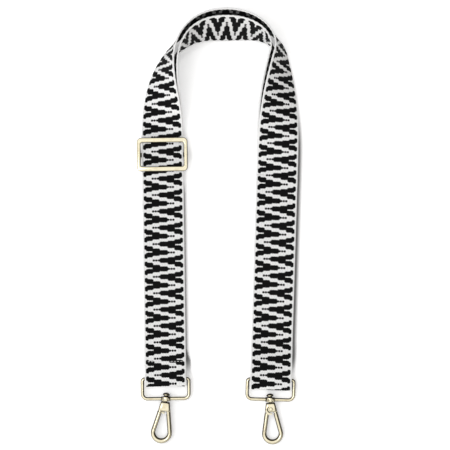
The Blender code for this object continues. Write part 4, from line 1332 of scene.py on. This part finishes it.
def make_dome(side, place):
    """Domed head that holds the post in the boss."""
    rows = [(0, DOME_FOOT_WIDTH / 2), (DOME_RIM, DOME_WIDTH / 2)]
    steps = 2 * CORNER_STEPS
    for i in range(1, steps):
        a = math.pi / 2 * i / steps
        rise = (DOME_HEIGHT - DOME_RIM) * math.sin(a)
        rows.append((DOME_RIM + rise, DOME_WIDTH / 2 * math.cos(a)))
    dome = turned([(DOME_SEAT + y, radius, radius) for y, radius in rows], "Y")
    bore = rod(POST_WIDTH / 2 + GAP, DOME_SEAT - OVERRUN, DOME_SEAT + POST_GRIP + GAP, "Y")
    obj = cast(f"dome_{side}", dome, [("DIFFERENCE", bore)], place, MATERIALS["gold"])
    dress(obj, f"{side}_hook", "pale_gold", f"{side}_swivel_dome")


def make_slider():
    """Slider: flat frame above the webbing, cheeks beside it and a centre bar below."""
    width = RING_INNER + 2 * SLIDER_RAIL
    low = FRONT_Z + WEB_THICK / 2 + GAP
    edges = edge_rows(low, low + SLIDER_THICK, SLIDER_EDGE)
    frame_rows = [(z, -inset) for z, inset in edges]
    hole_rows = [(low - OVERRUN, SLIDER_EDGE)] + edges
    hole_rows.append((low + SLIDER_THICK + OVERRUN, SLIDER_EDGE))
    window_length = SLIDER_LENGTH - 2 * SLIDER_BAR
    skins = []
    for wide, long, corner, rows in (
        (width, SLIDER_LENGTH, SLIDER_CORNER, frame_rows),
        (RING_INNER, window_length, SLIDER_CORNER / 2, hole_rows),
    ):
        rings = []
        for z, grow in rows:
            loop = rounded_loop(wide + 2 * grow, long + 2 * grow, [corner + grow] * 4)
            rings.append([Vector((x, y, z)) for x, y in loop])
        skins.append(loft(rings))
    steps = [("DIFFERENCE", skins[1])]
    bar_low, bar_high = BAR_Z - CENTRE_BAR_THICK / 2, BAR_Z + CENTRE_BAR_THICK / 2
    cheek_top = low + SLIDER_THICK / 2
    half = [(CHEEK_FOOT / 2, bar_low), (CHEEK_FOOT / 2, bar_high), (CHEEK_HEAD / 2, cheek_top)]
    outline = half + [(-y, z) for y, z in half[::-1]]
    for k in (-1, 1):
        xs = (k * RING_INNER / 2, k * (width / 2 - SLIDER_EDGE))
        steps.append(("UNION", loft([[Vector((x, y, z)) for y, z in outline] for x in xs])))
    radius = CENTRE_BAR_THICK / 2
    flat = CENTRE_BAR_WIDTH / 2 - radius
    section = []
    for i in range(2 * CORNER_STEPS + 1):
        a = -math.pi / 2 + math.pi * i / (2 * CORNER_STEPS)
        section.append((flat + radius * math.cos(a), radius * math.sin(a)))
    section += [(-y, -z) for y, z in section]
    reach = RING_INNER / 2 + SLIDER_RAIL / 2
    bar = loft([[Vector((x, y, BAR_Z + z)) for y, z in section] for x in (-reach, reach)])
    steps.append(("UNION", bar))
    obj = cast("slider_frame", skins[0], steps, slider_place(), MATERIALS["gold"])
    dress(obj, "slider", "pale_gold", "slider")


def make_hardware():
    """Slider, rings, swivels, hooks and gates, each in its frame."""
    make_slider()
    for side, sign, tilt in (("left", -1, LEFT_TILT), ("right", 1, RIGHT_TILT)):
        ring_at = leg_place(side == "left") @ Matrix.Translation((0, 0, RING_Z))
        swivel = ring_at @ Matrix.Translation((0, -RING_PITCH, 0))
        swivel = swivel @ Matrix.Rotation(sign * tilt, 4, "Z")
        pivot = swivel @ Matrix.Translation((0, -PIVOT_DROP, 0))
        make_ring(side, ring_at)
        make_dome(side, swivel)
        make_hook(side, sign, swivel)
        make_gate(side, sign, pivot)
        make_pin(side, sign, pivot)
        make_spring(side, sign, pivot)


def make_seams():
    """The row of stitches that closes the left ring's fold, and the one at the slider's bar."""
    for name, body_name, place, y, top, low in (
        ("seam_left", "root", leg_place(True), SEAM_RUN, FRONT_Z, FRONT_Z - LAYER),
        ("seam_slider", "slider", slider_place(), LOOP_SEAM, FRONT_Z - LAYER, FRONT_Z - 2 * LAYER),
    ):
        make_stitches(f"{name}_front", body_name, place, y, top + WEB_THICK / 2, 1)
        make_stitches(f"{name}_back", body_name, place, y, low - WEB_THICK / 2, -1)


# Studio


def make_floor():
    """White table that keeps the strap's shadow, with a painted shadow close to the right of the
    legs.
    """
    bm = bmesh.new()
    bmesh.ops.create_grid(bm, x_segments=1, y_segments=1, size=FLOOR_REACH)
    floor = added("floor", as_mesh("floor", bm))
    floor.location = (0, 0, -GAP)
    g = Graph(bpy.data.materials.new("white_table"))
    path = g.node("ShaderNodeLightPath")
    seen = g.sum("MAXIMUM", path.outputs["Is Camera Ray"], path.outputs["Is Glossy Ray"])
    seen = g.sum("MAXIMUM", seen, path.outputs["Is Transmission Ray"])
    # Painted shadow: colour and glow go dark where occlusion towards the upper left finds webbing
    near = g.openness(NEAR_REACH, NEAR_SAMPLES)
    towards = g.node("ShaderNodeCombineXYZ")
    for socket, number in zip(towards.inputs, NEAR_SIDE):
        socket.default_value = number
    g.put(near.inputs["Normal"], towards.outputs[0])
    across, along = g.split(g.coords("Object"))[:2]
    tops = [g.step(across, *NEAR_MIDDLE, *pair) for pair in zip(NEAR_TOP_LEFT, NEAR_TOP)]
    legs = g.sum("MULTIPLY", g.step(along, *NEAR_FOOT), g.step(along, *tops, 1.0, 0.0))
    legs = g.sum("MULTIPLY_ADD", legs, 1.0 - NEAR_SHARE, NEAR_SHARE)
    limits = [g.step(across, *NEAR_MIDDLE, *pair) for pair in zip(NEAR_SHADE_LEFT, NEAR_SHADE)]
    dim = g.sum("SUBTRACT", 1.0, g.step(near.outputs["AO"], *limits))
    clear = g.sum("SUBTRACT", 1.0, g.sum("MULTIPLY", dim, legs))
    g.set(Base_Color=g.mix(clear, PAINTED_SHADOW_COLOUR, FLOOR_COLOUR), Roughness=1.0, Specular_IOR_Level=0.0)
    glow = g.sum("MULTIPLY", g.sum("MULTIPLY", seen, FLOOR_GLOW), clear)
    g.set(Emission_Color=WHITE, Emission_Strength=glow)
    floor.data.materials.append(g.owner)


def make_key():
    """A soft square lamp at the left, aimed at the strap."""
    lamp = bpy.data.lights.new("key", "AREA")
    lamp.shape = "SQUARE"
    lamp.size = KEY_SIZE
    lamp.energy = KEY_POWER
    key = added("key", lamp)
    key.location = KEY_PLACE
    key.rotation_euler = (-Vector(KEY_PLACE)).to_track_quat("-Z", "Y").to_euler()


def make_world():
    """A tent: bright overhead and at the hooks' end, dark and warm towards the table."""
    world = bpy.data.worlds.new("studio")
    bpy.context.scene.world = world
    g = Graph(world)
    right, back, up = g.split(g.coords("Generated"))
    front = g.sum("MULTIPLY", back, -1.0)
    lifted = g.sum("MULTIPLY_ADD", right, -SKY_LEAN, up)
    sky = g.mix(g.step(lifted, *SKY_RISE), HORIZON, OVERHEAD)
    band = g.sum("SUBTRACT", g.step(up, *FRONT_RISE), g.step(up, *FRONT_FALL))
    glow = g.sum("MULTIPLY", g.step(front, *FRONT_SPREAD), band)
    tent = g.mix(glow, sky, FRONT)
    seen = g.node("ShaderNodeLightPath").outputs["Is Camera Ray"]
    g.set(Color=g.mix(seen, tent, WHITE), Strength=1.0)


def make_studio():
    """Camera straight above the table, a soft key from the left and the tent."""
    scene = bpy.context.scene
    scene.view_settings.view_transform = "Standard"
    data = bpy.data.cameras.new("camera")
    data.sensor_width = SENSOR
    data.lens = SENSOR * CAMERA_HEIGHT / (FRAME_PIXELS * PIXEL)
    camera = added("camera", data)
    camera.location = (CAMERA_X, CAMERA_Y, CAMERA_HEIGHT)
    scene.camera = camera
    make_world()
    make_key()


MATERIALS = {"gold": gold_material(), "steel": steel_material(), "thread": thread_material()}
make_webbing()
make_hardware()
make_seams()
make_floor()
make_studio()
